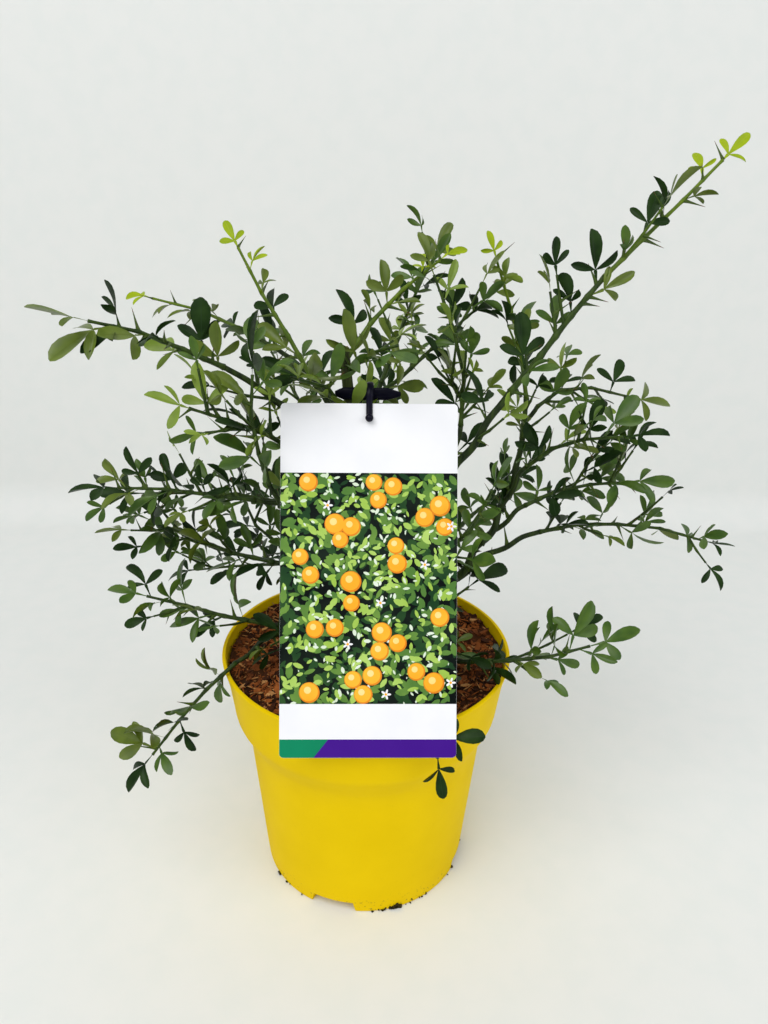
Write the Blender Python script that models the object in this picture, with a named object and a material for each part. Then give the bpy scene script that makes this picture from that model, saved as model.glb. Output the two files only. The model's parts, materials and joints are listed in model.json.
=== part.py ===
"""A trifoliate orange in its plastic nursery pot, with the hang label tied to its trunk.

The origin is the centre of the pot's flat underside, +Z is up and the label faces -Y.
Sizes are in metres, worked out from the named sizes below.  The tree is a trunk, boughs that
leave it, and one mass of twigs, thorns and three-leaflet leaves at the end of each branch.
"""
import math
import random
from dataclasses import dataclass
from itertools import product

import bmesh
import bpy
from mathutils import Matrix, Vector
from mathutils.bvhtree import BVHTree

MM = 0.001
GAP = 0.3 * MM
UP = Vector((0.0, 0.0, 1.0))

# Pot: radius and height of the outer wall's steps, from the foot to the rim
FOOT_RADIUS = 85.4 * MM
FOOT_ROUND = 1.5 * MM
FOOT_ANGLES = (-90, -45, 0)
BODY_RADIUS = 86.9 * MM
BODY_HEIGHT = 18 * MM
BODY_TOP_RADIUS = 96.6 * MM
BODY_TOP_HEIGHT = 128 * MM
COLLAR_FOOT_RADIUS = 105.6 * MM
COLLAR_FOOT_HEIGHT = 147 * MM
COLLAR_RADIUS = 107.4 * MM
COLLAR_HEIGHT = 153 * MM
COLLAR_TOP_RADIUS = 111 * MM
COLLAR_TOP_HEIGHT = 182 * MM
RIM_RADIUS = 115 * MM
POT_HEIGHT = 200 * MM
LIP = 1.0 * MM
POT_WALL = 1.5 * MM
POT_SIDES = 32
POT_CREASE = 35

# Drain notches under the pot's edge, each with a round hole in its roof
NOTCHES = 4
FIRST_NOTCH = 253
NOTCH_WIDTH = 38 * MM
NOTCH_TOP_WIDTH = 33 * MM
NOTCH_HEIGHT = 10 * MM
NOTCH_DEPTH = 20 * MM
OVERCUT = 5 * MM
DRAIN_RADIUS = 5 * MM
DRAIN_REACH = 72 * MM
DRAIN_SIDES = 12

# Potting mix
SOIL_LEVEL = 187 * MM
SOIL_DISH = 4 * MM
SOIL_FLAT_RADIUS = 30 * MM
SOIL_RISE_RADIUS = 75 * MM

# Trunk, from the soil to its pruned tip
TRUNK_FOOT = Vector((8 * MM, 0.0, SOIL_LEVEL + GAP))
TRUNK_TIP = Vector((-18 * MM, 0.0, 439 * MM))
TRUNK_SWING = 6 * MM
TRUNK_RADIUS = 6.5 * MM
TRUNK_TIP_RADIUS = 3.5 * MM
TRUNK_SHARES = (0.0, 0.02, 0.05, 0.09, 0.2, 0.36, 0.52, 0.68, 0.84, 1.0)
TRUNK_SIDES = 8
FLARE = 0.7
FLARE_HEIGHT = 11 * MM

# Hang label: a card that leans on the rim, its hole, and the tie that holds it to the trunk
CARD_WIDTH = 120 * MM
CARD_LENGTH = 240 * MM
CARD_THICK = 0.4 * MM
CARD_CORNER = 3 * MM
CARD_MIDDLE = Vector((1.0 * MM, -74.2 * MM, 296.5 * MM))
CARD_LEAN = 23
CARD_ROLL = -0.4
HOLE_RADIUS = 2.6 * MM
HOLE_DROP = 10 * MM
HOLE_SIDES = 16
TIE_SHARE = 0.88
RING_HALF_WIDTH = 2 * MM
RING_WALL = 1.6 * MM
RING_SIDES = 12
BAR_ENDS = (-24 * MM, 22 * MM)
BAR_HALF_HEIGHT = 4.4 * MM
BAR_FLATNESS = 0.36
STRAP_RISE = 11 * MM
STRAP_HALF_WIDTH = 2.2 * MM
STRAP_FLATNESS = 0.35
PEG_RADIUS = 1.8 * MM
KNOB_RADIUS = 2.8 * MM

# Growth of twigs, thorns and leaves
SEED = 19
BOUGH_STEP = 22 * MM
SLIM_RADIUS = 2.6 * MM
STEM_LEAD = 3 * MM
NODE_STEP = 16 * MM
GOLDEN_ANGLE = 137.5
ZIGZAG = 1.1 * MM
TWIG_TIP_RADIUS = 0.9 * MM
TWIG_SIDES = 3
SHOOT_RADIUS = 1.2 * MM
SHOOT_TIP_RADIUS = 0.7 * MM
SHOOT_CHANCE = 0.22
SHOOT_LENGTHS = (28 * MM, 55 * MM)
SHOOT_BEND = 0.12
LEAF_CHANCE = 0.08
THORN_CHANCE = 0.34
THORN_LENGTHS = (9 * MM, 19 * MM)
THORN_RADIUS = 1.3 * MM
STALK_LENGTHS = (7 * MM, 13 * MM)
STALK_FOOT_RADIUS = 0.55 * MM
HUB_RADIUS = 1.0 * MM
BLADE_LENGTHS = (20 * MM, 27 * MM)
BLADE_WIDTH = 0.46
BLADE_BROADEST = 0.60
BLADE_BLUNT = 0.42
BLADE_THICK = 0.7 * MM
BLADE_FOLD = 0.10
SIDE_BLADE = 0.70
SIDE_SPREAD = 62
# Turn and relative length of each leaflet, and the hub corners to its right and left
LEAFLETS = ((0, 1.0, 6, 7), (-SIDE_SPREAD, SIDE_BLADE, 5, 6), (SIDE_SPREAD, SIDE_BLADE, 7, 8))
LEAFLET_CORNERS = 5
YOUNG_REACH = 70 * MM
YOUNG_SIZE = 0.6
LIGHT = Vector((-0.15, -0.75, 1.0))
GUARD = 0.5 * MM
GUARD_SCALE = 1.05
TURNS = (0, 50, -50, 100, -100)
SHRINKS = (1.0, 0.8)
TIP_ROOM = 0.74
SOIL_CLEAR = 4 * MM
WHOLE_SHARE = 0.8


@dataclass(frozen=True)
class Finish:
    """A material's plain colour, roughness and metallic value."""

    name: str
    colour: tuple
    roughness: float
    metallic: float = 0.0


YELLOW_PLASTIC = Finish("yellow_plastic", (0.73, 0.50, 0.005), 0.32)
BARK_CHIPS = Finish("bark_chips", (0.13, 0.055, 0.028), 0.95)
TRUNK_BARK = Finish("trunk_bark", (0.045, 0.055, 0.022), 0.8)
GREEN_BARK = Finish("green_bark", (0.035, 0.085, 0.020), 0.55)
DARK_LEAF = Finish("dark_leaf", (0.030, 0.095, 0.028), 0.38)
BRIGHT_LEAF = Finish("bright_leaf", (0.085, 0.190, 0.020), 0.40)
WHITE_CARD = Finish("white_card", (0.86, 0.86, 0.88), 0.35)
BLACK_PLASTIC = Finish("black_plastic", (0.012, 0.012, 0.016), 0.35)


@dataclass(frozen=True)
class Branch:
    """A limb of the tree: it leaves its parent at a share of the parent's length.

    Its tip is given round the pot's axis: bearing in degrees (0 = +X, 90 = +Y), reach and
    height in mm.  It bows upward by rise and to its left by swing, in mm.  Its first part,
    up to the share called bare, is a bough.  The rest is the stem of a mass of foliage
    whose leaves keep within room mm of it.  Leaf is the size of its leaves, and young tells
    that they get smaller toward its tip.
    """

    name: str
    parent: str
    share: float
    bearing: float
    reach: float
    height: float
    rise: float
    swing: float
    thick: float
    bare: float
    room: float = 58
    leaf: float = 1.0
    finish: Finish = DARK_LEAF
    young: bool = False


BRANCHES = (
    Branch("right_main", "trunk", 0.13, 353, 215, 562, 25, -20, 7.8, 0.54, 48, young=True),
    Branch("right_rise", "trunk", 0.05, 19, 93, 497, -65, -15, 8.0, 0.62, 50, young=True),
    Branch("mid_right", "right_main", 0.24, 19, 46, 487, -20, -25, 5.0, 0.42, 52),
    Branch("right_low", "right_rise", 0.15, 3, 266, 288, 30, 20, 5.5, 0.44, 52, 0.9),
    Branch("right_mid", "right_rise", 0.33, 1, 195, 341, 15, 5, 4.4, 0.36),
    Branch("right_mid_up", "right_rise", 0.43, 349, 177, 388, 20, 0, 4.4, 0.34),
    Branch("right_upper", "right_rise", 0.53, 15, 210, 393, 35, 10, 4.4, 0.38),
    Branch("right_bottom", "trunk", 0.055, 336, 174, 244, -6, -15, 5.0, 0.50, 56),
    Branch("right_rim", "trunk", 0.09, 12, 84, 243, 4, -12, 3.6, 0.0, leaf=1.1),
    Branch("right_foot", "trunk", 0.02, 327, 84, 220, 6, 8, 3.6, 0.0, 56, 1.1),
    Branch("right_front", "trunk", 0.42, 319, 107, 362, -28, 5, 4.0, 0.0, 50),
    Branch("left_reach", "trunk", 0.60, 203, 182, 467, 21, -8, 6.6, 0.60, 60, 1.12),
    Branch("left_rise", "trunk", 0.36, 214, 90, 431, -30, -5, 5.4, 0.58, 52, 1.2),
    Branch("left_fill", "trunk", 0.54, 212, 132, 414, 10, -10, 4.0, 0.0, 56, 1.1, BRIGHT_LEAF),
    Branch("left_mid", "trunk", 0.49, 191, 177, 346, 5, 0, 5.0, 0.46),
    Branch("left_mid_low", "trunk", 0.445, 177, 169, 325, 8, -12, 4.2, 0.0, 52, 0.85),
    Branch("left_low_mid", "trunk", 0.33, 177, 167, 303, -15, -5, 5.0, 0.42, leaf=0.85),
    Branch("left_shoot", "trunk", 0.40, 153, 121, 317, -30, 10, 3.8, 0.0, 48, 0.85),
    Branch("left_back_low", "trunk", 0.28, 151, 173, 222, 4, -15, 4.4, 0.0, leaf=0.85),
    Branch("left_low", "trunk", 0.085, 187, 168, 253, -3, 5, 5.4, 0.50, 52, 0.85),
    Branch("left_hang", "left_low", 0.38, 209, 177, 158, 12, 0, 4.0, 0.36, leaf=0.95),
    Branch("up_left", "trunk", 0.72, 159, 100, 501, -5, -5, 5.0, 0.36, 44, young=True),
    Branch("back_left", "trunk", 0.76, 152, 194, 457, 10, -25, 5.0, 0.48, 48, young=True),
    Branch("crown", "trunk", 0.965, 27, 54, 496, 5, 5, 4.4, 0.0, 46, young=True),
    Branch("crown_back", "trunk", 0.81, 39, 112, 461, -15, 20, 4.6, 0.0, 50),
    Branch("label_left", "trunk", 0.80, 218, 65, 427, 10, 0, 3.4, 0.0, 44, 1.3, BRIGHT_LEAF),
    Branch("label_right", "trunk", 0.93, 298, 39, 448, 5, 0, 3.4, 0.0, 44, 1.3, BRIGHT_LEAF),
    Branch("front_low", "trunk", 0.24, 262, 66, 275, 5, 0, 3.4, 0.0, 40),
    Branch("front_hang", "trunk", 0.105, 293.7, 124.5, 180, 57, 0, 3.6, 0.0, 54),
    Branch("back_right_low", "trunk", 0.20, 46, 200, 290, 12, -10, 6.0, 0.46),
    Branch("back_mid", "trunk", 0.30, 84, 188, 372, -10, 12, 6.0, 0.46),
    Branch("back_left_mid", "trunk", 0.45, 120, 174, 404, -12, -12, 5.4, 0.44),
    Branch("back_high", "trunk", 0.66, 68, 136, 488, -10, 10, 5.4, 0.40),
    Branch("back_low", "trunk", 0.12, 112, 192, 258, 10, 10, 5.4, 0.50),
)


def make_material(finish):
    """Return the Principled material of a finish, made once."""
    made = bpy.data.materials.get(finish.name)
    if made is None:
        made = bpy.data.materials.new(finish.name)
        made.use_nodes = True
        shader = made.node_tree.nodes["Principled BSDF"]
        shader.inputs["Base Color"].default_value = (*finish.colour, 1.0)
        shader.inputs["Roughness"].default_value = finish.roughness
        shader.inputs["Metallic"].default_value = finish.metallic
        made.diffuse_color = (*finish.colour, 1.0)
    return made


def make_object(name, form, finish=None):
    """Return a new object from a form, its (corners, faces), with faces turned outward."""
    mesh = bpy.data.meshes.new(name)
    mesh.from_pydata([tuple(corner) for corner in form[0]], [], form[1])
    return place_mesh(name, mesh, finish)


def place_mesh(name, mesh, finish=None):
    """Return a new object in the scene that holds the mesh, with its faces turned outward."""
    shape = bmesh.new()
    shape.from_mesh(mesh)
    bmesh.ops.recalc_face_normals(shape, faces=shape.faces)
    shape.to_mesh(mesh)
    shape.free()
    made = bpy.data.objects.new(name, mesh)
    bpy.context.scene.collection.objects.link(made)
    if finish:
        mesh.materials.append(make_material(finish))
    return made


def drop_object(thing):
    """Remove an object together with its mesh."""
    mesh = thing.data
    bpy.data.objects.remove(thing)
    bpy.data.meshes.remove(mesh)


def apply_boolean(target, others, operation, solver="EXACT"):
    """Apply one Boolean of a collection of objects to the target, then remove those objects."""
    group = bpy.data.collections.new(target.name + "_operands")
    bpy.context.scene.collection.children.link(group)
    for other in others:
        group.objects.link(other)
        bpy.context.scene.collection.objects.unlink(other)
    step = target.modifiers.new("join", "BOOLEAN")
    step.operation = operation
    step.operand_type = "COLLECTION"
    step.collection = group
    step.solver = solver
    scene_graph = bpy.context.evaluated_depsgraph_get()
    result = bpy.data.meshes.new_from_object(target.evaluated_get(scene_graph))
    target.modifiers.clear()
    old = target.data
    target.data = result
    bpy.data.meshes.remove(old)
    for other in others:
        drop_object(other)
    bpy.data.collections.remove(group)


def tube(points, radii, sides, flatness=1.0, side=None):
    """Return the form of a closed tapering tube: one ring of corners round each point.

    Each ring starts toward side, and is flatter at right angles to it.
    """
    corners = []
    faces = [tuple(reversed(range(sides)))]
    side = side or (points[1] - points[0]).orthogonal().normalized()
    last = len(points) - 1
    for index, point in enumerate(points):
        ahead = (points[min(index + 1, last)] - points[max(index - 1, 0)]).normalized()
        side = (side - ahead * side.dot(ahead)).normalized()
        across = ahead.cross(side)
        for step in range(sides):
            angle = 2 * math.pi * step / sides
            out = side * math.cos(angle) + across * (math.sin(angle) * flatness)
            corners.append(point + out * radii[index])
    for index in range(last):
        for step in range(sides):
            start = index * sides
            after = (step + 1) % sides
            faces.append((start + step, start + after, start + sides + after, start + sides + step))
    faces.append(tuple(range(last * sides, (last + 1) * sides)))
    return corners, faces


def between(low, high, share):
    """Return the value at a share of the way from low to high."""
    return low + (high - low) * share


@dataclass
class Arc:
    """A bowed line from foot to tip, and the radius of the limb at both ends."""

    foot: Vector
    tip: Vector
    rise: float
    swing: float
    thick: float
    thin: float

    def point(self, share):
        """Return the point at a share of the length: a straight line plus a parabola's bow."""
        ahead = (self.tip - self.foot).normalized()
        lift = (UP - ahead * ahead.z).normalized()
        left = UP.cross(ahead).normalized()
        bow = lift * self.rise + left * self.swing
        return self.foot.lerp(self.tip, share) + bow * (4 * share * (1 - share))

    def radius(self, share):
        """Return the limb's radius at a share of the length."""
        return between(self.thick, self.thin, share)

    def length(self, start=0.0, end=1.0, steps=24):
        """Return the length of the stretch between two shares."""
        points = [self.point(between(start, end, step / steps)) for step in range(steps + 1)]
        return sum((b - a).length for a, b in zip(points, points[1:]))


def branch_arcs():
    """Return the arc of the trunk and of each branch, by name, each parent before its own."""
    trunk = Arc(TRUNK_FOOT, TRUNK_TIP, 0.0, TRUNK_SWING, TRUNK_RADIUS, TRUNK_TIP_RADIUS)
    arcs = {"trunk": trunk}
    for branch in BRANCHES:
        parent = arcs[branch.parent]
        angle = math.radians(branch.bearing)
        out = Vector((math.cos(angle), math.sin(angle), 0.0)) * branch.reach
        tip = (out + UP * branch.height) * MM
        arcs[branch.name] = Arc(
            parent.point(branch.share), tip, branch.rise * MM, branch.swing * MM,
            branch.thick / 2 * MM, TWIG_TIP_RADIUS,
        )
    return arcs


def trunk_form(arc, margin=0.0):
    """Return the form of the trunk: root flare at its flat foot, then a steady taper."""
    points = [arc.point(share) for share in TRUNK_SHARES]
    radii = []
    for point, share in zip(points, TRUNK_SHARES):
        spread = 1 + FLARE * math.exp(-(point.z - arc.foot.z) / FLARE_HEIGHT)
        radii.append(arc.radius(share) * spread + margin)
    form = tube(points, radii, TRUNK_SIDES)
    level_end(form[0][:TRUNK_SIDES], points[0].z)
    return form


def level_end(ring, height):
    """Move a ring of corners straight up or down onto one height."""
    for corner in ring:
        corner.z = height


def bough_shares(arc, end):
    """Return the shares of a branch at which its bough has a ring of corners."""
    steps = max(3, round(arc.length(0.0, end) / BOUGH_STEP))
    return [end * step / steps for step in range(steps + 1)]


def bough_form(arc, end, margin=0.0):
    """Return the form of the bare first part of a branch, up to the share called end."""
    shares = bough_shares(arc, end)
    sides = 6 if arc.thick > SLIM_RADIUS else 5
    return tube([arc.point(s) for s in shares], [arc.radius(s) + margin for s in shares], sides)


def stem_shares(branch, arc):
    """Return the shares along a branch where its mass has nodes."""
    steps = 2 * max(2, round(arc.length(branch.bare, 1.0) / NODE_STEP / 2))
    return [between(branch.bare, 1.0, step / steps) for step in range(steps + 1)]


def stem_form(branch, arc):
    """Return the nodes and the form of a mass's stem, which bends a little at every second node.

    It starts GAP beyond its bough's end and square to it.
    """
    shares = stem_shares(branch, arc)
    points = [arc.point(share) for share in shares]
    for index in range(2, len(points) - 1, 2):
        ahead = (points[index + 2] - points[index - 2]).normalized()
        turn = Matrix.Rotation(math.radians(index * GOLDEN_ANGLE), 3, ahead)
        points[index] = points[index] + turn @ ahead.orthogonal().normalized() * ZIGZAG
    for index in range(1, len(points), 2):
        points[index] = (points[index - 1] + points[index + 1]) / 2
    radii = [arc.radius(share) for share in shares]
    if branch.bare:
        before, end = (arc.point(share) for share in bough_shares(arc, branch.bare)[-2:])
        lead = (end - before).normalized()
        rings = [end + lead * GAP, end + lead * STEM_LEAD] + points[2::2]
        return points, tube(rings, [radii[0]] + radii[::2], TWIG_SIDES)
    return points, tube(points[::2], radii[::2], TWIG_SIDES)


def leaf_form(foot, ahead, face, stalk, length):
    """Return the form of a whole leaf: a winged stalk and three leaflets that share its hub.

    Each leaflet has a blunt tip and is widest past its middle, where a peak gives it its thickness.
    """
    side = ahead.cross(face)
    hub = foot + ahead * stalk
    corners = [
        foot + (side * 0.87 + face * 0.5) * STALK_FOOT_RADIUS,
        foot + (side * -0.87 + face * 0.5) * STALK_FOOT_RADIUS,
        foot - face * STALK_FOOT_RADIUS,
        hub + face * (BLADE_THICK / 2),
        hub - face * (BLADE_THICK / 2),
        hub + side * HUB_RADIUS,
        hub + turned(ahead, face, -SIDE_SPREAD / 2) * (1.5 * HUB_RADIUS),
        hub + turned(ahead, face, SIDE_SPREAD / 2) * (1.5 * HUB_RADIUS),
        hub - side * HUB_RADIUS,
    ]
    faces = [(2, 1, 0), (0, 1, 3), (0, 3, 5), (1, 8, 3), (0, 5, 4), (0, 4, 2), (1, 2, 4), (1, 4, 8)]
    for spread, share, right, left in LEAFLETS:
        out = turned(ahead, face, spread)
        half = out.cross(face) * (length * share * BLADE_WIDTH / 2)
        middle = hub + out * (length * share * BLADE_BROADEST) + face * (half.length * BLADE_FOLD)
        tip = hub + out * (length * share)
        first = len(corners)
        corners += [middle + half, tip + half * BLADE_BLUNT, tip - half * BLADE_BLUNT, middle - half]
        corners.append(middle + face * BLADE_THICK)
        rim = (right, first, first + 1, first + 2, first + 3, left)
        faces += [(first + 4, a, b) for a, b in zip((3,) + rim, rim + (3,))]
        faces += [(4, left, right), (left, first + 3, first), (left, first, right)]
        faces += [(first + 3, first + 2, first + 1), (first + 3, first + 1, first)]
    return corners, faces


def turned(ahead, face, degrees):
    """Return a direction turned in the plane of a leaf, counterclockwise seen from its face."""
    return Matrix.Rotation(math.radians(degrees), 3, face) @ ahead


def leaf_guards(form, face, stalk):
    """Return the forms round a leaf, GUARD clear of it: its stalk, then a flat box a leaflet."""
    corners = form[0]
    foot = (corners[0] + corners[1] + corners[2]) / 3
    hub = (corners[3] + corners[4]) / 2
    guards = [tube([foot.lerp(hub, 0.3), hub], [HUB_RADIUS + GUARD] * 2, TWIG_SIDES)]
    above = face * (BLADE_THICK / 2 + GUARD)
    for first in range(9, len(corners), LEAFLET_CORNERS):
        *rim, peak = corners[first:first + LEAFLET_CORNERS]
        middle = peak - face * (BLADE_THICK / 2)
        rim = [middle + (corner - middle) * GUARD_SCALE for corner in [hub] + rim]
        count = len(rim)
        box = [corner + above for corner in rim] + [corner - above for corner in rim]
        faces = [tuple(range(count)), tuple(reversed(range(count, 2 * count)))]
        for index in range(count):
            after = (index + 1) % count
            faces.append((index, count + index, count + after, after))
        guards.append((box, faces))
    return guards


def tree_of(forms):
    """Return a search tree over all faces of a list of forms."""
    corners = []
    faces = []
    for form in forms:
        start = len(corners)
        corners += form[0]
        faces += [tuple(start + index for index in face) for face in form[1]]
    return BVHTree.FromPolygons(corners, faces)


class Mass:
    """A mass of foliage: a stem with side shoots, thorns and leaves that keep to its space."""

    def __init__(self, branch, arc, others):
        """Start the mass with its stem; others are the forms that it has to keep clear of."""
        self.branch = branch
        self.random = random.Random(f"{branch.name} {SEED}")
        self.others = tree_of(others)
        self.from_card = card_matrix().inverted()
        self.points, stem = stem_form(branch, arc)
        self.radii = [arc.radius(share) for share in stem_shares(branch, arc)]
        self.ahead = (self.points[-1] - self.points[-2]).normalized()
        self.wood = [stem]
        self.leaves = []
        self.own = [stem]

    def in_space(self, guard):
        """Tell whether a form is in the mass's room, above soil and floor, and not before the label."""
        room = self.branch.room * MM
        for corner in guard[0]:
            if min((corner - point).length for point in self.points[:-1]) > room:
                return False
            if (corner - self.points[-1]).dot(self.ahead) > room * TIP_ROOM:
                return False
            over_pot = math.hypot(corner.x, corner.y) < RIM_RADIUS
            if corner.z < (SOIL_LEVEL + SOIL_DISH + SOIL_CLEAR if over_pot else SOIL_CLEAR):
                return False
            x, y, z = self.from_card @ corner
            if y < 0 and abs(x) < CARD_WIDTH / 2 and abs(z) < CARD_LENGTH / 2:
                return False
        return True

    def is_clear(self, guard, with_own=False):
        """Tell whether a form is in the space and touches no other node's form."""
        if not self.in_space(guard):
            return False
        tree = tree_of([guard])
        if tree.overlap(self.others):
            return False
        return not (with_own and tree.overlap(tree_of(self.own)))

    def grow(self):
        """Grow the nodes along the stem, then a leaf at its tip."""
        count = len(self.points)
        for index in range(1, count - 1):
            ahead = (self.points[index + 1] - self.points[index - 1]).normalized()
            self.grow_node(self.points[index], ahead, index, self.radii[index], True)
        self.add_leaf(self.points[-1] - self.ahead * MM, self.ahead, self.ahead, self.random.random())

    def grow_node(self, point, ahead, index, radius, may_shoot):
        """Grow at one node: a side shoot or a thorn by chance, and a leaf at every odd node at least."""
        draw = [self.random.random() for _ in range(8)]
        angle = math.radians(index * GOLDEN_ANGLE + between(-25, 25, draw[0]))
        out = Matrix.Rotation(angle, 3, ahead) @ ahead.orthogonal().normalized()
        if may_shoot and draw[1] < SHOOT_CHANCE:
            self.add_shoot(point, (ahead * 0.7 + out * 0.7 + UP * 0.25).normalized(), draw[2])
        elif draw[3] < THORN_CHANCE:
            self.add_thorn(point, (ahead * 0.4 + out * 0.9).normalized(), radius, draw[4])
        if index % 2 or draw[5] < LEAF_CHANCE:
            stalk = (ahead * 0.5 + out * 0.8 + UP * 0.55).normalized()
            self.add_leaf(point, stalk, ahead, draw[6])

    def add_shoot(self, foot, ahead, size):
        """Add a side shoot with nodes of its own, if it and the leaf at its tip are clear."""
        length = between(*SHOOT_LENGTHS, size)
        steps = max(2, round(length / NODE_STEP))
        bend = UP * (length * SHOOT_BEND)
        points = [foot + ahead * (length * k / steps) + bend * (k / steps) ** 2 for k in range(steps + 1)]
        radii = [between(SHOOT_RADIUS, SHOOT_TIP_RADIUS, k / steps) for k in range(steps + 1)]
        form = tube(points, radii, TWIG_SIDES)
        guard = tube(points[1:], [radius + GUARD for radius in radii[1:]], TWIG_SIDES)
        tip_ahead = (points[-1] - points[-2]).normalized()
        if not self.is_clear(guard):
            return
        if not self.add_leaf(points[-1] - tip_ahead * MM, tip_ahead, tip_ahead, size):
            return
        self.wood.append(form)
        self.own.append(form)
        for k in range(1, steps):
            self.grow_node(points[k], (points[k + 1] - points[k - 1]).normalized(), k + 1, radii[k], False)

    def add_thorn(self, foot, ahead, radius, size):
        """Add a straight thorn, a three-sided spike, if it is clear."""
        length = between(*THORN_LENGTHS, size) + radius
        base = min(THORN_RADIUS, radius * 0.85)
        side = ahead.orthogonal().normalized() * base
        ring = [foot + Matrix.Rotation(math.radians(turn), 3, ahead) @ side for turn in (0, 120, 240)]
        form = (ring + [foot + ahead * length], [(2, 1, 0), (0, 1, 3), (1, 2, 3), (2, 0, 3)])
        start = foot + ahead * (radius + base)
        guard = tube([start, foot + ahead * (length + GUARD)], [base + GUARD, GUARD], TWIG_SIDES)
        if self.is_clear(guard):
            self.wood.append(form)
            self.own.append(form)

    def add_leaf(self, foot, ahead, stem_ahead, size):
        """Add a leaf with its face to the light, or tell it can't.

        It is turned on its stalk until it is clear, first at its full size and then smaller.
        """
        stalk = between(*STALK_LENGTHS, size)
        length = between(*BLADE_LENGTHS, (size * 7) % 1) * self.branch.leaf
        if self.branch.young:
            growth = between(YOUNG_SIZE, 1.0, min(1.0, (foot - self.points[-1]).length / YOUNG_REACH))
            stalk *= growth
            length *= growth
        lean = Vector((math.sin(size * 50), math.cos(size * 70), math.sin(size * 90)))
        face = LIGHT + stem_ahead * 0.3 + lean * 0.55
        face = (face - ahead * face.dot(ahead)).normalized()
        for shrink, turn in product(SHRINKS, TURNS):
            up = Matrix.Rotation(math.radians(turn), 3, ahead) @ face
            form = leaf_form(foot, ahead, up, stalk, length * shrink)
            guards = leaf_guards(form, up, stalk)
            if self.is_clear(guards[0]) and all(self.is_clear(guard, True) for guard in guards[1:]):
                self.leaves.append(form)
                self.own.append(form)
                return True
        return False

    def forms(self):
        """Return all forms of the mass."""
        return self.wood + self.leaves

    def choices(self):
        """Return lists of forms to join: all, all but one leaf, then fewer and fewer leaves."""
        count = len(self.leaves)
        all_but_one = [self.leaves[:index] + self.leaves[index + 1:] for index in range(count)]
        fewer = [self.leaves[:kept] for kept in range(count - 2, 0, -1)]
        return [self.wood + leaves for leaves in [self.leaves] + all_but_one + fewer]


def keep_largest(mesh):
    """Drop loose scraps and sealed hollows from a mesh, and tell whether the rest is closed."""
    shape = bmesh.new()
    shape.from_mesh(mesh)
    bmesh.ops.triangulate(shape, faces=shape.faces)
    bmesh.ops.remove_doubles(shape, verts=shape.verts, dist=1e-6)
    unseen = set(shape.verts)
    groups = []
    while unseen:
        group = [unseen.pop()]
        for vert in group:
            for edge in vert.link_edges:
                other = edge.other_vert(vert)
                if other in unseen:
                    unseen.remove(other)
                    group.append(other)
        groups.append(group)
    groups.sort(key=len)
    bmesh.ops.delete(shape, geom=[vert for group in groups[:-1] for vert in group], context="VERTS")
    closed = all(edge.is_manifold and edge.is_contiguous for edge in shape.edges)
    closed = closed and all(vert.is_manifold for vert in shape.verts)
    shape.to_mesh(mesh)
    shape.free()
    return closed


def join_forms(name, forms, finish, solver="EXACT"):
    """Return one object joined from forms by one Boolean union, and whether it is closed."""
    made = make_object(name, forms[0], finish)
    others = [make_object("operand", form) for form in forms[1:]]
    if others:
        apply_boolean(made, others, "UNION", solver)
    return made, keep_largest(made.data)


def join_mass(mass):
    """Make the node of a mass: EXACT first, then MANIFOLD, then with fewer leaves.

    A union that has lost more corners than sink into the stem isn't whole, and isn't kept.
    """
    name = mass.branch.name + "_foliage"
    for forms in mass.choices():
        count = sum(len(corners) for corners, faces in forms)
        for solver in ("EXACT", "MANIFOLD"):
            made, closed = join_forms(name, forms, mass.branch.finish, solver)
            if closed and len(made.data.vertices) > WHOLE_SHARE * count:
                return made
            drop_object(made)
    raise ValueError(name + " does not close")


def cut_back(target, form):
    """Cut a limb back by the form of the limb that it leaves."""
    apply_boolean(target, [make_object("cutter", form)], "DIFFERENCE")
    keep_largest(target.data)


def spun(name, profile, finish=None, sides=POT_SIDES):
    """Return an object turned round Z from a profile of (radius, height) that ends on the axis."""
    shape = bmesh.new()
    points = [shape.verts.new((radius, 0.0, height)) for radius, height in profile]
    line = [shape.edges.new(pair) for pair in zip(points, points[1:])]
    bmesh.ops.spin(
        shape, geom=points + line, cent=(0, 0, 0), axis=(0, 0, 1), angle=2 * math.pi,
        steps=sides, use_merge=True,
    )
    bmesh.ops.remove_doubles(shape, verts=shape.verts, dist=1e-6)
    mesh = bpy.data.meshes.new(name)
    shape.to_mesh(mesh)
    shape.free()
    return place_mesh(name, mesh, finish)


def pot_outside():
    """Return the pot's outer profile from the axis under the foot up to the rim."""
    profile = [(0.0, 0.0)]
    for degrees in FOOT_ANGLES:
        angle = math.radians(degrees)
        profile.append((
            FOOT_RADIUS - FOOT_ROUND + FOOT_ROUND * math.cos(angle),
            FOOT_ROUND + FOOT_ROUND * math.sin(angle),
        ))
    return profile + [
        (BODY_RADIUS, BODY_HEIGHT), (BODY_TOP_RADIUS, BODY_TOP_HEIGHT),
        (COLLAR_FOOT_RADIUS, COLLAR_FOOT_HEIGHT), (COLLAR_RADIUS, COLLAR_HEIGHT),
        (COLLAR_TOP_RADIUS, COLLAR_TOP_HEIGHT),
        (RIM_RADIUS, POT_HEIGHT - LIP), (RIM_RADIUS - LIP, POT_HEIGHT),
    ]


def pot_inside(margin):
    """Return the inner profile from the axis over the floor to the rim, set in by a margin."""
    step = POT_WALL + margin
    return [
        (0.0, step), (FOOT_RADIUS - FOOT_ROUND - margin, step),
        (BODY_RADIUS - step, BODY_HEIGHT - POT_WALL),
        (BODY_TOP_RADIUS - step, BODY_TOP_HEIGHT + POT_WALL),
        (COLLAR_RADIUS - step, COLLAR_HEIGHT + POT_WALL), (RIM_RADIUS - LIP - step, POT_HEIGHT),
    ]


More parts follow.
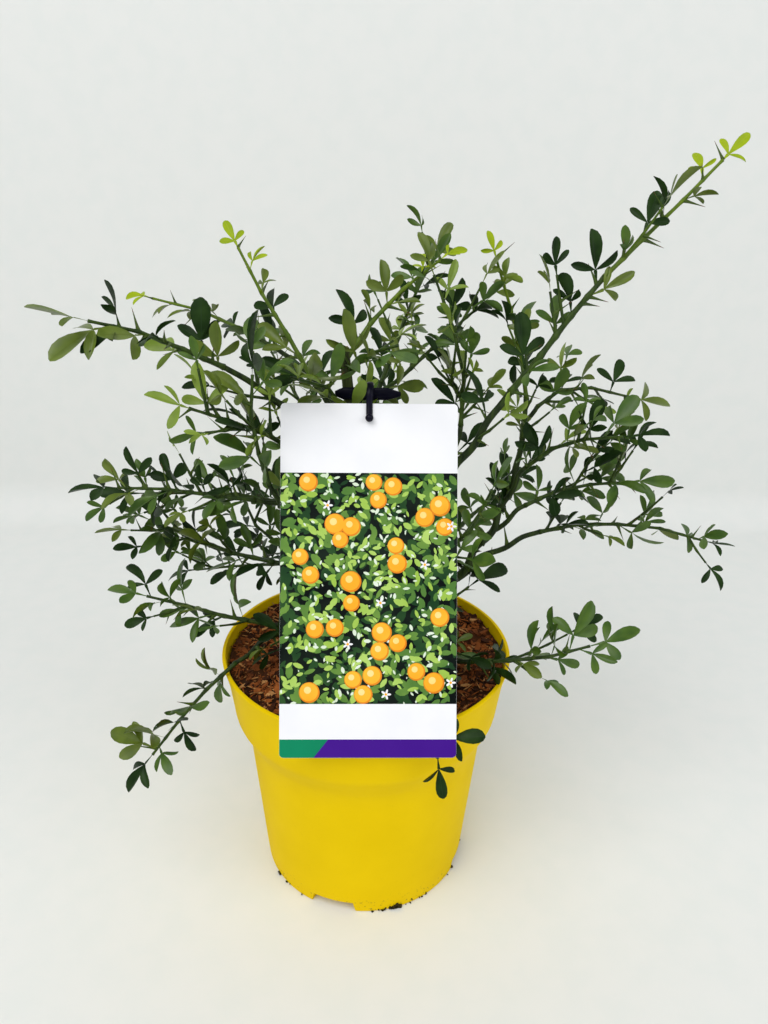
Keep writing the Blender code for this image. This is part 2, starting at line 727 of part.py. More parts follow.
def notch_way(index):
    """Return the direction in which one notch looks out from the pot's axis."""
    angle = math.radians(FIRST_NOTCH + index * 360 / NOTCHES)
    return Vector((math.cos(angle), math.sin(angle), 0.0))


def notch_form(index, margin):
    """Return the form of one drain notch under the foot's edge, grown by a margin."""
    out = notch_way(index)
    side = UP.cross(out)
    near = FOOT_RADIUS - NOTCH_DEPTH - margin
    far = BODY_RADIUS + OVERCUT
    corners = []
    for height, width in ((-OVERCUT, NOTCH_WIDTH), (NOTCH_HEIGHT + margin, NOTCH_TOP_WIDTH)):
        half = width / 2 + margin
        for reach, way in ((near, -1), (far, -1), (far, 1), (near, 1)):
            corners.append(out * reach + side * (half * way) + UP * height)
    faces = [(3, 2, 1, 0), (4, 5, 6, 7), (0, 1, 5, 4), (1, 2, 6, 5), (2, 3, 7, 6), (3, 0, 4, 7)]
    return corners, faces


def drain_form(index):
    """Return the form of the round hole through the roof of one notch."""
    roof = notch_way(index) * DRAIN_REACH + UP * NOTCH_HEIGHT
    half = UP * (2 * POT_WALL)
    return tube([roof - half, roof + half], [DRAIN_RADIUS] * 2, DRAIN_SIDES)


def make_pot():
    """Make the yellow pot: a thin turned wall, a collar under the rim and four drain notches."""
    pot = spun("pot", pot_outside() + list(reversed(pot_inside(0.0))), YELLOW_PLASTIC)
    roofs = [make_object("roof", notch_form(index, POT_WALL)) for index in range(NOTCHES)]
    for roof in roofs:
        limit = spun("limit", pot_outside() + [(0.0, POT_HEIGHT)])
        apply_boolean(roof, [limit], "INTERSECT")
    apply_boolean(pot, roofs, "UNION")
    cutters = [make_object("notch", notch_form(index, 0.0)) for index in range(NOTCHES)]
    apply_boolean(pot, cutters, "DIFFERENCE")
    drains = [make_object("drain", drain_form(index)) for index in range(NOTCHES)]
    apply_boolean(pot, drains, "DIFFERENCE")
    keep_largest(pot.data)
    pot.data.shade_smooth()
    pot.data.set_sharp_from_angle(angle=math.radians(POT_CREASE))
    return pot


def make_soil():
    """Make the potting mix that fills the pot: flat round the trunk, a little dished outside."""
    *inner, low, high = pot_inside(GAP)
    level = SOIL_LEVEL - SOIL_DISH
    edge = between(low[0], high[0], (level - low[1]) / (high[1] - low[1]))
    profile = inner + [
        low, (edge, level), (SOIL_RISE_RADIUS, SOIL_LEVEL + SOIL_DISH / 2),
        (SOIL_FLAT_RADIUS, SOIL_LEVEL), (0.0, SOIL_LEVEL),
    ]
    soil = spun("soil", profile, BARK_CHIPS)
    roofs = [make_object("roof", notch_form(index, POT_WALL + GAP)) for index in range(NOTCHES)]
    apply_boolean(soil, roofs, "DIFFERENCE")
    keep_largest(soil.data)
    return soil


def card_matrix():
    """Return the place of the card: upright, leaning back on the pot's rim."""
    lean = Matrix.Rotation(math.radians(-CARD_LEAN), 4, "X")
    roll = Matrix.Rotation(math.radians(CARD_ROLL), 4, "Y")
    return Matrix.Translation(CARD_MIDDLE) @ lean @ roll


def card_outline():
    """Return the card's outline with round corners, as (x, z) in its own plane."""
    outline = []
    for quarter, (way_x, way_z) in enumerate(((1, 1), (-1, 1), (-1, -1), (1, -1))):
        for step in range(4):
            angle = math.radians(90 * quarter + 30 * step)
            outline.append((
                way_x * (CARD_WIDTH / 2 - CARD_CORNER) + CARD_CORNER * math.cos(angle),
                way_z * (CARD_LENGTH / 2 - CARD_CORNER) + CARD_CORNER * math.sin(angle),
            ))
    return outline


def make_card():
    """Make the label's card, a thin plate with round corners and a hole under its top edge."""
    outline = card_outline()
    half = CARD_THICK / 2
    count = len(outline)
    corners = [Vector((x, y, z)) for y in (-half, half) for x, z in outline]
    faces = [tuple(range(count)), tuple(reversed(range(count, 2 * count)))]
    for index in range(count):
        after = (index + 1) % count
        faces.append((index, count + index, count + after, after))
    card = make_object("label_card", (corners, faces), WHITE_CARD)
    hole = UP * (CARD_LENGTH / 2 - HOLE_DROP)
    across = Vector((0.0, OVERCUT, 0.0))
    cutter = tube([hole - across, hole + across], [HOLE_RADIUS] * 2, HOLE_SIDES)
    apply_boolean(card, [make_object("punch", cutter)], "DIFFERENCE")
    keep_largest(card.data)
    card.data.transform(card_matrix())
    return card


def ball(middle, radius, rings=4, sides=6):
    """Return the form of a small ball turned round Z."""
    angles = [math.pi * (ring + 0.5) / rings for ring in range(rings)]
    points = [middle - UP * (radius * math.cos(angle)) for angle in angles]
    return tube(points, [radius * math.sin(angle) for angle in angles], sides)


def tie_band(trunk):
    """Return the forms of the tie at the trunk: its bore, its ring and the bar in front of it."""
    middle = trunk.point(TIE_SHARE)
    ahead = (trunk.tip - trunk.foot).normalized()
    inner = trunk.radius(TIE_SHARE) + GAP
    half = ahead * RING_HALF_WIDTH
    corner = inner / math.cos(math.pi / RING_SIDES)
    bore = tube([middle - half * 3, middle + half * 3], [corner] * 2, RING_SIDES)
    ring = tube([middle - half, middle + half], [inner + RING_WALL] * 2, RING_SIDES)
    left, right = (Vector((x, middle.y - inner - RING_WALL, middle.z)) for x in BAR_ENDS)
    radii = [BAR_HALF_HEIGHT * share for share in (0.5, 1.0, 0.95, 0.45)]
    bar = tube([left.lerp(right, share) for share in (0.0, 0.15, 0.8, 1.0)], radii, 6, BAR_FLATNESS, UP)
    return bore, ring, bar, left.lerp(right, 0.5)


def make_tie(trunk):
    """Make the tie: a ring and bar at the trunk, a strap over the card's top edge, a peg and a knob."""
    bore, ring, bar, start = tie_band(trunk)
    place = card_matrix()
    clear = CARD_THICK / 2 + GAP
    front = clear + STRAP_FLATNESS * STRAP_HALF_WIDTH
    hole = CARD_LENGTH / 2 - HOLE_DROP
    start.x = CARD_MIDDLE.x
    edge = place @ Vector((0.0, 0.0, CARD_LENGTH / 2))
    points = [start, start.lerp(edge, 0.2), start.lerp(edge, 0.6), start.lerp(edge, 0.95)]
    for point, share in zip(points, (0.0, 0.75, 1.0, 0.6)):
        point.z = start.z + STRAP_RISE * share
    points += [place @ Vector((0.0, -front, height)) for height in (CARD_LENGTH / 2, hole)]
    strap = tube(points, [STRAP_HALF_WIDTH] * len(points), 6, STRAP_FLATNESS, Vector((1.0, 0.0, 0.0)))
    peg = tube([place @ Vector((0.0, y, hole)) for y in (-front, 2 * front)], [PEG_RADIUS] * 2, 8)
    knob = ball(place @ Vector((0.0, -clear - KNOB_RADIUS, hole)), KNOB_RADIUS)
    tie = join_forms("label_tie", [ring, bar, strap, peg, knob], BLACK_PLASTIC)[0]
    apply_boolean(tie, [make_object("bore", bore)], "DIFFERENCE")
    keep_largest(tie.data)
    return tie


def form_of(thing):
    """Return the form of an object in the scene, for the test of clearness."""
    mesh = thing.data
    return [vert.co.copy() for vert in mesh.vertices], [tuple(face.vertices) for face in mesh.polygons]


def parent_form(branch, arcs):
    """Return the form of the limb that a branch leaves, GAP larger all round."""
    if branch.parent == "trunk":
        return trunk_form(arcs["trunk"], GAP)
    parent = next(other for other in BRANCHES if other.name == branch.parent)
    return bough_form(arcs[branch.parent], parent.bare, GAP)


def make_limbs(arcs):
    """Make the trunk and the boughs, and return the forms that the leaves keep clear of."""
    make_object("trunk", trunk_form(arcs["trunk"]), TRUNK_BARK)
    forms = [trunk_form(arcs["trunk"], GUARD)]
    for branch in BRANCHES:
        if branch.bare:
            form = bough_form(arcs[branch.name], branch.bare)
            forms.append(form)
            cut_back(make_object(branch.name + "_bough", form, GREEN_BARK), parent_form(branch, arcs))
    return forms


def make_masses(arcs, fixed):
    """Make the masses one by one, each clear of the fixed forms, all stems and the masses before it."""
    stems = {branch.name: stem_form(branch, arcs[branch.name])[1] for branch in BRANCHES}
    for branch in BRANCHES:
        other_stems = [stem for name, stem in stems.items() if name != branch.name]
        mass = Mass(branch, arcs[branch.name], fixed + other_stems)
        mass.grow()
        foliage = join_mass(mass)
        if not branch.bare:
            cut_back(foliage, parent_form(branch, arcs))
        fixed += mass.forms()


def main():
    """Make every node of the part."""
    for thing in list(bpy.data.objects):
        bpy.data.objects.remove(thing)
    arcs = branch_arcs()
    fixed = [form_of(thing) for thing in (make_pot(), make_soil(), make_card(), make_tie(arcs["trunk"]))]
    make_masses(arcs, fixed + make_limbs(arcs))


if __name__ == "__main__":
    main()
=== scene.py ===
"""The looks of a potted trifoliate orange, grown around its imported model.

Lengths are in metres.  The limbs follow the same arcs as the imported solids, and the twigs,
thorns and leaves grow on from them by the same seeded rule, carried on to finer twigs.
"""

import json
import logging
import math
import random
from dataclasses import dataclass, field
from enum import Enum
from itertools import product

import bpy
import numpy as np
from mathutils import Matrix, Vector
from mathutils.bvhtree import BVHTree

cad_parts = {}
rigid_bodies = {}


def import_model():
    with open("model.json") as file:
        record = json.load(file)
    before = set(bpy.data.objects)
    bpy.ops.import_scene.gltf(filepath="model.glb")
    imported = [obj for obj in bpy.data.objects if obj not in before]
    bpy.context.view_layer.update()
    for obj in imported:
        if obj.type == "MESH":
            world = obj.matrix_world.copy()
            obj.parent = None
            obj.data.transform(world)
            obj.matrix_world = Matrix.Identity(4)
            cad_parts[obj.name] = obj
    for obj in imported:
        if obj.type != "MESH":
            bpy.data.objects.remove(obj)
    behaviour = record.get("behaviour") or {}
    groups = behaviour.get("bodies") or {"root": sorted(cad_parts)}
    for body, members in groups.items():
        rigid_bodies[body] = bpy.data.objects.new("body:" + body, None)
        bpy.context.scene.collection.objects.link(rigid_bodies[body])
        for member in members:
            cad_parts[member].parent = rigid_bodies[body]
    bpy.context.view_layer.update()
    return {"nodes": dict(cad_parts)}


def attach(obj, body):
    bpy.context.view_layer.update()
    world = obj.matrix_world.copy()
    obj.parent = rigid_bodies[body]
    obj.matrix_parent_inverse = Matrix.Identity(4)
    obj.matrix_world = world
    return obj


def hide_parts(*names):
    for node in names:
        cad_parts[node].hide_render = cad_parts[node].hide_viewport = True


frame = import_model()

Array = np.ndarray
MM = 0.001
UP = Vector((0.0, 0.0, 1.0))
LOG = logging.getLogger("trifoliate_orange")

# Camera, fitted to the pot and the card
CAMERA_PLACE = Vector((0.6 * MM, -554.9 * MM, 551.5 * MM))
CAMERA_PITCH = 23.02
CAMERA_YAW = 1.18
CAMERA_ROLL = 1.12
CAMERA_LENS = 28.125
SENSOR_LONG_SIDE = 36.0

# Pot
FOOT_RADIUS = 85.4 * MM
FOOT_ROUND = 1.5 * MM
BODY_RADIUS = 86.9 * MM
BODY_HEIGHT = 18 * MM
BODY_TOP_RADIUS = 96.6 * MM
BODY_TOP_HEIGHT = 128 * MM
COLLAR_FOOT_RADIUS = 105.6 * MM
COLLAR_FOOT_HEIGHT = 147 * MM
COLLAR_RADIUS = 107.4 * MM
COLLAR_HEIGHT = 153 * MM
COLLAR_TOP_RADIUS = 111 * MM
COLLAR_TOP_HEIGHT = 182 * MM
RIM_RADIUS = 115 * MM
POT_HEIGHT = 200 * MM
LIP = 1.0 * MM
POT_WALL = 1.5 * MM
NOTCHES = 4
FIRST_NOTCH = 253
NOTCH_WIDTH = 38 * MM
NOTCH_TOP_WIDTH = 33 * MM
NOTCH_HEIGHT = 10 * MM
NOTCH_DEPTH = 20 * MM

# Potting mix
SOIL_LEVEL = 187 * MM
SOIL_DISH = 4 * MM
SOIL_CLEAR = 3 * MM
SOIL_HEAP = 5 * MM

# Trunk
TRUNK_FOOT = Vector((8 * MM, 0.0, SOIL_LEVEL))
TRUNK_TIP = Vector((-18 * MM, 0.0, 439 * MM))
TRUNK_SWING = 6 * MM
TRUNK_RADIUS = 6.5 * MM
TRUNK_TIP_RADIUS = 3.5 * MM
FLARE = 0.7
FLARE_HEIGHT = 11 * MM

# Hang label
CARD_WIDTH = 120 * MM
CARD_LENGTH = 240 * MM
CARD_THICK = 0.4 * MM
CARD_CORNER = 3 * MM
CARD_MIDDLE = Vector((1.0 * MM, -74.2 * MM, 296.5 * MM))
CARD_LEAN = 23
CARD_ROLL = -0.4
HOLE_RADIUS = 2.6 * MM
HOLE_DROP = 10 * MM
INK = 0.02 * MM
STRIPE_TOP = 12.5 * MM
STRIPE_SPLIT = -37 * MM
STRIPE_SLANT = 10 * MM

# Growth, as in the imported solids
SEED = 19
NODE_STEP = 16 * MM
GOLDEN_ANGLE = 137.5
ZIGZAG = 1.1 * MM
TWIG_TIP_RADIUS = 0.9 * MM
SHOOT_RADIUS = 1.2 * MM
SHOOT_TIP_RADIUS = 0.7 * MM
SHOOT_CHANCE = 0.22
SHOOT_LENGTHS = (28 * MM, 55 * MM)
SHOOT_BEND = 0.12
LEAF_CHANCE = 0.08
THORN_CHANCE = 0.34
THORN_LENGTHS = (9 * MM, 19 * MM)
THORN_RADIUS = 1.3 * MM
STALK_LENGTHS = (7 * MM, 13 * MM)
BLADE_LENGTHS = (20 * MM, 27 * MM)
SIDE_BLADE = 0.70
SIDE_SPREAD = 62
YOUNG_REACH = 70 * MM
YOUNG_SIZE = 0.6
LIGHT = Vector((-0.15, -0.75, 1.0))
TIP_ROOM = 0.74
TURNS = (0, 50, -50, 100, -100)
SHRINKS = (1.0, 0.8)

# Finer growth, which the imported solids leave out
FINER_TRIES = 2
FULLER_TRIES = 4
FULLER = (
    "left_mid", "left_fill", "right_rise", "mid_right", "right_mid_up", "right_rim", "right_low",
)
FINER_SHOOT_CHANCE = 0.16
FINER_LEAF_CHANCE = 0.62
FINER_THORN_CHANCE = 0.30
FINER_LEAF_SIZES = (0.74, 1.02)
FINER_SHOOT_SIZE = 0.7
HUB_SPACING = 10.5 * MM
LEAF_SIZES = (0.95, 1.12)
YOUNG_LEAF_CHANCE = 0.7
YOUNG_LEAF_SIZES = (0.6, 0.85)
BARE_TIP = 105 * MM
LIME_TIP = 50 * MM
BOUGH_THORN_STEP = 15 * MM
YOUNG_AGE = 0.7
BRIGHT_AGE = 0.85
LOW_GROWTH = 330 * MM
BOUGH_WIGGLE = 1.8 * MM
BOUGH_WAVE = 42 * MM


class Tone(Enum):
    """The colour groups of the leaves. Besides the leaves' own colours, the dark group also serves as painted shade
    and the brighter groups as painted light.
    """

    DARK = "dark"
    GREEN = "green"
    OLIVE = "olive"
    BRIGHT = "bright"
    YOUNG = "young"


# Shares of the colour groups. Low leaves and the sprays in shade draw more of the dark group, as painted shade; high
# leaves and the open sprays with bright leaves draw more of the olive and bright groups, as painted light. The young
# shares follow age alone.
LOW_TONES = {Tone.DARK: 0.5, Tone.GREEN: 0.93, Tone.OLIVE: 1.0}
HIGH_TONES = {Tone.DARK: 0.36, Tone.GREEN: 0.64, Tone.OLIVE: 0.88, Tone.BRIGHT: 1.0}
SHADE_TONES = {Tone.DARK: 0.85, Tone.GREEN: 1.0}
FRESH_AND_PAINTED_LIGHT_TONES = {Tone.DARK: 0.15, Tone.GREEN: 0.50, Tone.OLIVE: 0.62, Tone.BRIGHT: 1.0}
YOUNG_TONES = {Tone.OLIVE: 0.45, Tone.BRIGHT: 1.0}
SLIM_TONES = {Tone.YOUNG: 0.88, Tone.BRIGHT: 0.80}


class Bark(Enum):
    """The colour groups of the twigs, by how far they are from a young tip."""

    GREEN = "green"
    LIGHT = "light"
    YOUNG = "young"


@dataclass(frozen=True)
class Branch:
    """A limb: where it leaves its parent, its tip round the pot's axis, its bow and its size.

    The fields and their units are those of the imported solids' source.
    """

    name: str
    parent: str
    share: float
    bearing: float
    reach: float
    height: float
    rise: float
    swing: float
    thick: float
    bare: float
    room: float = 58
    leaf: float = 1.0
    tone: Tone | None = None
    young: bool = False


# A tone of DARK gives a spray's leaves painted shade; a tone of BRIGHT gives them painted light, besides their fresh
# colour.
BRANCHES = (
    Branch("right_main", "trunk", 0.13, 353, 215, 562, 25, -20, 7.8, 0.54, 48, young=True),
    Branch("right_rise", "trunk", 0.05, 19, 93, 497, -65, -15, 8.0, 0.62, 50, young=True),
    Branch("mid_right", "right_main", 0.24, 19, 46, 487, -20, -25, 5.0, 0.42, 52),
    Branch("right_low", "right_rise", 0.15, 3, 266, 288, 30, 20, 5.5, 0.44, 52, 0.9),
    Branch("right_mid", "right_rise", 0.33, 1, 195, 341, 15, 5, 4.4, 0.36),
    Branch("right_mid_up", "right_rise", 0.43, 349, 177, 388, 20, 0, 4.4, 0.34),
    Branch("right_upper", "right_rise", 0.53, 15, 210, 393, 35, 10, 4.4, 0.38),
    Branch("right_bottom", "trunk", 0.055, 336, 174, 244, -6, -15, 5.0, 0.50, 56),
    Branch("right_rim", "trunk", 0.09, 12, 84, 243, 4, -12, 3.6, 0.0, leaf=1.1, tone=Tone.DARK),
    Branch("right_foot", "trunk", 0.02, 327, 84, 220, 6, 8, 3.6, 0.0, 56, 1.1, Tone.DARK),
    Branch("right_front", "trunk", 0.42, 319, 107, 362, -28, 5, 4.0, 0.0, 50),
    Branch("left_reach", "trunk", 0.60, 203, 182, 467, 21, -8, 6.6, 0.60, 60, 1.12),
    Branch("left_rise", "trunk", 0.36, 214, 90, 431, -30, -5, 5.4, 0.58, 52, 1.2),
    Branch("left_fill", "trunk", 0.54, 212, 132, 414, 10, -10, 4.0, 0.0, 56, 1.1, Tone.BRIGHT),
    Branch("left_mid", "trunk", 0.49, 191, 177, 346, 5, 0, 5.0, 0.46),
    Branch("left_mid_low", "trunk", 0.445, 177, 169, 325, 8, -12, 4.2, 0.0, 52, 0.85),
    Branch("left_low_mid", "trunk", 0.33, 177, 167, 303, -15, -5, 5.0, 0.42, leaf=0.85),
    Branch("left_shoot", "trunk", 0.40, 153, 121, 317, -30, 10, 3.8, 0.0, 48, 0.85),
    Branch("left_back_low", "trunk", 0.28, 151, 173, 222, 4, -15, 4.4, 0.0, leaf=0.85),
    Branch("left_low", "trunk", 0.085, 187, 168, 253, -3, 5, 5.4, 0.50, 52, 0.85),
    Branch("left_hang", "left_low", 0.38, 209, 177, 158, 12, 0, 4.0, 0.36, leaf=0.95),
    Branch("up_left", "trunk", 0.72, 159, 100, 501, -5, -5, 5.0, 0.36, 44, young=True),
    Branch("back_left", "trunk", 0.76, 152, 194, 457, 10, -25, 5.0, 0.48, 48, young=True),
    Branch("crown", "trunk", 0.965, 27, 54, 496, 5, 5, 4.4, 0.0, 46, young=True),
    Branch("crown_back", "trunk", 0.81, 39, 112, 461, -15, 20, 4.6, 0.0, 50),
    Branch("label_left", "trunk", 0.80, 218, 65, 427, 10, 0, 3.4, 0.0, 44, 1.3, Tone.BRIGHT),
    Branch("label_right", "trunk", 0.93, 298, 39, 448, 5, 0, 3.4, 0.0, 44, 1.3, Tone.BRIGHT),
    Branch("front_low", "trunk", 0.24, 262, 66, 275, 5, 0, 3.4, 0.0, 40, tone=Tone.DARK),
    Branch("front_hang", "trunk", 0.105, 293.7, 124.5, 180, 57, 0, 3.6, 0.0, 54, tone=Tone.DARK),
    Branch("back_right_low", "trunk", 0.20, 46, 200, 290, 12, -10, 6.0, 0.46),
    Branch("back_mid", "trunk", 0.30, 84, 188, 372, -10, 12, 6.0, 0.46),
    Branch("back_left_mid", "trunk", 0.45, 120, 174, 404, -12, -12, 5.4, 0.44),
    Branch("back_high", "trunk", 0.66, 68, 136, 488, -10, 10, 5.4, 0.40),
    Branch("back_low", "trunk", 0.12, 112, 192, 258, 10, 10, 5.4, 0.50),
)


def between(low: float, high: float, share: float) -> float:
    """Return the value at a share of the way from low to high."""
    return low + (high - low) * share


def unit(vectors: Array) -> Array:
    """Return the vectors divided by their lengths."""
    return vectors / np.maximum(np.linalg.norm(vectors, axis=-1, keepdims=True), 1e-12)


def waves(points: Array, scale: float, seed: int, count: int = 12) -> Array:
    """Return smooth noise from -1 to 1: the mean of sines along seeded directions.

    Args:
        points: corners, of any leading shape.
        scale: length of one wave.
        seed: seed of the directions.
        count: number of sines.

    Returns:
        One value for each point.
    """
    draw = np.random.default_rng(seed)
    ways = unit(draw.normal(size=(count, 3))) * (2 * math.pi / scale) * draw.uniform(0.6, 1.6, (count, 1))
    phases = draw.uniform(0, 2 * math.pi, count)
    return np.sin(points @ ways.T + phases).sum(-1) / math.sqrt(count) / 1.5


@dataclass
class Surfaces:
    """Grids of corners that are joined into one piece."""

    corners: list[Array] = field(default_factory=list)
    faces: list[Array] = field(default_factory=list)
    marks: list[Array] = field(default_factory=list)
    count: int = 0

    def add(self, corners: Array, faces: Array, marks: Array | None = None) -> None:
        """Add corners, the faces on them, and each corner's place on its own surface.

        Args:
            corners: an array that ends in 3.
            faces: one row of corner numbers for each face.
            marks: an array that ends in 2, for the UV map.
        """
        flat = corners.reshape(-1, 3)
        self.corners.append(flat)
        self.faces.append(faces.reshape(-1, faces.shape[-1]) + self.count)
        self.marks.append(np.zeros((len(flat), 2)) if marks is None else marks.reshape(-1, 2))
        self.count += len(flat)

    def piece(self, name: str, finish: "Finish", smooth: bool = True) -> bpy.types.Object:
        """Return one object of all that was added, with its finish, riding on the root body."""
        corners = np.concatenate(self.corners)
        marks = np.concatenate(self.marks)
        sizes = np.concatenate([np.full(len(group), group.shape[1]) for group in self.faces])
        loops = np.concatenate([group.ravel() for group in self.faces])
        mesh = bpy.data.meshes.new(name)
        mesh.vertices.add(len(corners))
        mesh.vertices.foreach_set("co", corners.astype(np.float32).ravel())
        mesh.loops.add(len(loops))
        mesh.loops.foreach_set("vertex_index", loops.astype(np.int32))
        mesh.polygons.add(len(sizes))
        starts = np.concatenate([[0], np.cumsum(sizes)[:-1]])
        mesh.polygons.foreach_set("loop_start", starts.astype(np.int32))
        mesh.polygons.foreach_set("use_smooth", np.full(len(sizes), smooth))
        mesh.uv_layers.new(name="place").data.foreach_set("uv", marks[loops].astype(np.float32).ravel())
        mesh.update(calc_edges=True)
        mesh.validate()
        made = bpy.data.objects.new(name, mesh)
        bpy.context.scene.collection.objects.link(made)
        mesh.materials.append(finish.material())
        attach(made, "root")
        LOG.info("%s: %d faces", name, len(sizes))
        return made


def grid(rows: int, columns: int, round_trip: bool = False) -> Array:
    """Return the four-sided faces of a grid of corners.

    Args:
        rows: number of rows of corners.
        columns: number of corners in a row.
        round_trip: join the last column to the first.
    """
    wide = columns if round_trip else columns - 1
    row, column = np.meshgrid(np.arange(rows - 1), np.arange(wide), indexing="ij")
    after = (column + 1) % columns
    here = row * columns
    return np.stack([here + column, here + after, here + columns + after, here + columns + column], -1)


def add_tube(
    target: Surfaces, path: Array, radii: Array, sides: int, flatness: float = 1.0,
    side: Array | None = None, relief: Array | None = None,
) -> None:
    """Add a closed tube: corner = path + radius (side cos a + across sin a flatness).

    Args:
        target: where it goes.
        path: one point for each ring.
        radii: one radius for each ring.
        sides: corners in a ring.
        flatness: thickness across as a share of the width.
        side: the direction of each ring's first corner, or None for any.
        relief: factors on the radius, one for each ring and side.
    """
    ahead = unit(np.gradient(path, axis=0))
    chord = unit(path[-1] - path[0])
    if side is None:
        side = np.eye(3)[np.argmin(np.abs(chord))]
    side = unit(side - ahead * (ahead @ side)[:, None])
    across = np.cross(ahead, side)
    angles = np.arange(sides) * 2 * math.pi / sides
    out = side[:, None] * np.cos(angles)[None, :, None]
    out = out + across[:, None] * (np.sin(angles) * flatness)[None, :, None]
    reach = radii[:, None] * (np.ones((1, sides)) if relief is None else relief)
    corners = path[:, None] + out * reach[..., None]
    count = len(path)
    around, along = np.meshgrid(np.arange(sides) / sides, np.arange(count) / count)
    target.add(corners, grid(count, sides, True), np.stack([around, along], -1))
    ends = np.array([np.arange(sides)[::-1], np.arange(sides) + (count - 1) * sides])
    target.faces.append(ends + target.count - corners.size // 3)


class Wire:
    """A socket of a material's node, with arithmetic that adds Math nodes."""

    def __init__(self, shader: "Shader", socket: bpy.types.NodeSocket) -> None:
        """Wrap a socket of a shader."""
        self.shader = shader
        self.socket = socket

    def math(self, operation: str, *others: "Wire | float") -> "Wire":
        """Return the result of a Math node on this value and others."""
        return self.shader.node("ShaderNodeMath", {"operation": operation}, dict(enumerate((self, *others))))

    def __add__(self, other: "Wire | float") -> "Wire":
        """Return the sum."""
        return self.math("ADD", other)

    def __radd__(self, other: float) -> "Wire":
        """Return the sum."""
        return self.math("ADD", other)

    def __sub__(self, other: "Wire | float") -> "Wire":
        """Return the difference."""
        return self.math("SUBTRACT", other)

    def __rsub__(self, other: float) -> "Wire":
        """Return a number less this value."""
        return self.shader.node("ShaderNodeMath", {"operation": "SUBTRACT"}, {0: other, 1: self})

    def __mul__(self, other: "Wire | float") -> "Wire":
        """Return the product."""
        return self.math("MULTIPLY", other)

    def __rmul__(self, other: float) -> "Wire":
        """Return the product."""
        return self.math("MULTIPLY", other)

    def step(self, low: float, high: float) -> "Wire":
        """Return a smooth step from 0 at low to 1 at high."""
        inputs = {"Value": self, "From Min": low, "From Max": high}
        return self.shader.node("ShaderNodeMapRange", {"interpolation_type": "SMOOTHSTEP"}, inputs)


class Shader:
    """A material's nodes round its Principled shader."""

    def __init__(self, name: str) -> None:
        """Make the material."""
        self.material = bpy.data.materials.new(name)
        self.material.use_nodes = True
        self.tree = self.material.node_tree
        self.main = self.tree.nodes["Principled BSDF"]

    def node(self, kind: str, settings: dict, inputs: dict, output: int | str = 0) -> Wire:
        """Return an output of a new node.

        Args:
            kind: the node's type.
            settings: attributes that are set first.
            inputs: a value or a Wire for each socket, by name or number.
            output: the socket that is returned.
        """
        made = self.tree.nodes.new(kind)
        for key, value in settings.items():
            setattr(made, key, value)
        for key, value in inputs.items():
            self.feed(made.inputs[key], value)
        return Wire(self, made.outputs[output])

    def feed(self, socket: bpy.types.NodeSocket, value: "Wire | float | tuple") -> None:
        """Set a socket's value, or link a Wire to it."""
        if isinstance(value, Wire):
            self.tree.links.new(value.socket, socket)
        else:
            socket.default_value = value

    def place(self) -> Wire:
        """Return Object coordinates."""
        return self.node("ShaderNodeTexCoord", {}, {}, "Object")

    def marks(self) -> Wire:
        """Return the piece's own UV map."""
        return self.node("ShaderNodeUVMap", {"uv_map": "place"}, {})

    def axis(self, vector: Wire, name: str) -> Wire:
        """Return one part of a vector: X, Y or Z."""
        return self.node("ShaderNodeSeparateXYZ", {}, {"Vector": vector}, name)

    def noise(self, scale: float, detail: float = 3.0, vector: Wire | None = None) -> Wire:
        """Return noise from 0 to 1, its scale in waves a metre."""
        inputs = {"Vector": vector or self.place(), "Scale": scale, "Detail": detail}
        return self.node("ShaderNodeTexNoise", {}, inputs)

    def mix(self, factor: Wire | float, first: "Wire | tuple", second: "Wire | tuple") -> Wire:
        """Return the blend of two colours."""
        made = self.tree.nodes.new("ShaderNodeMix")
        made.data_type = "RGBA"
        self.feed(made.inputs["Factor"], factor)
        self.feed(made.inputs[6], first)
        self.feed(made.inputs[7], second)
        return Wire(self, made.outputs[2])

    def bump(self, height: Wire, distance: float, strength: float = 1.0) -> None:
        """Raise the surface's look by a height."""
        inputs = {"Height": height, "Distance": distance, "Strength": strength}
        self.feed(self.main.inputs["Normal"], self.node("ShaderNodeBump", {}, inputs))

    def set(self, **values: "Wire | float | tuple") -> None:
        """Set sockets of the Principled shader, an underscore in a name standing for a space."""
        for name, value in values.items():
            self.feed(self.main.inputs[name.replace("_", " ")], value)


def colour(red: float, green: float, blue: float) -> tuple:
    """Return a colour with full alpha."""
    return (red, green, blue, 1.0)


@dataclass(frozen=True)
class Finish:
    """A surface's name, its colour and a second colour that patches of it take."""

    name: str
    base: tuple
    other: tuple
    roughness: float = 0.5
    gloss: float = 0.25

    def material(self) -> bpy.types.Material:
        """Return the finish's material, made once."""
        found = bpy.data.materials.get(self.name)
        if found:
            return found
        shader = Shader(self.name)
        self.dress(shader)
        return shader.material

    def dress(self, shader: Shader) -> None:
        """Blend the two colours by soft patches."""
        patch = shader.noise(35.0).step(0.35, 0.7)
        shader.set(
            Base_Color=shader.mix(patch, self.base, self.other), Roughness=self.roughness,
            Specular_IOR_Level=self.gloss,
        )


@dataclass(frozen=True)
class LeafFinish(Finish):
    """A leathery leaf with a soft shine."""

    def dress(self, shader: Shader) -> None:
        """Blend the two colours by soft patches, and raise a fine grain."""
        patch = shader.noise(75.0, 2.0).step(0.32, 0.68)
        shader.set(
            Base_Color=shader.mix(patch, self.base, self.other), Roughness=self.roughness,
            Specular_IOR_Level=self.gloss,
        )
        shader.bump(shader.noise(700.0, 2.0), 0.15 * MM, 0.4)


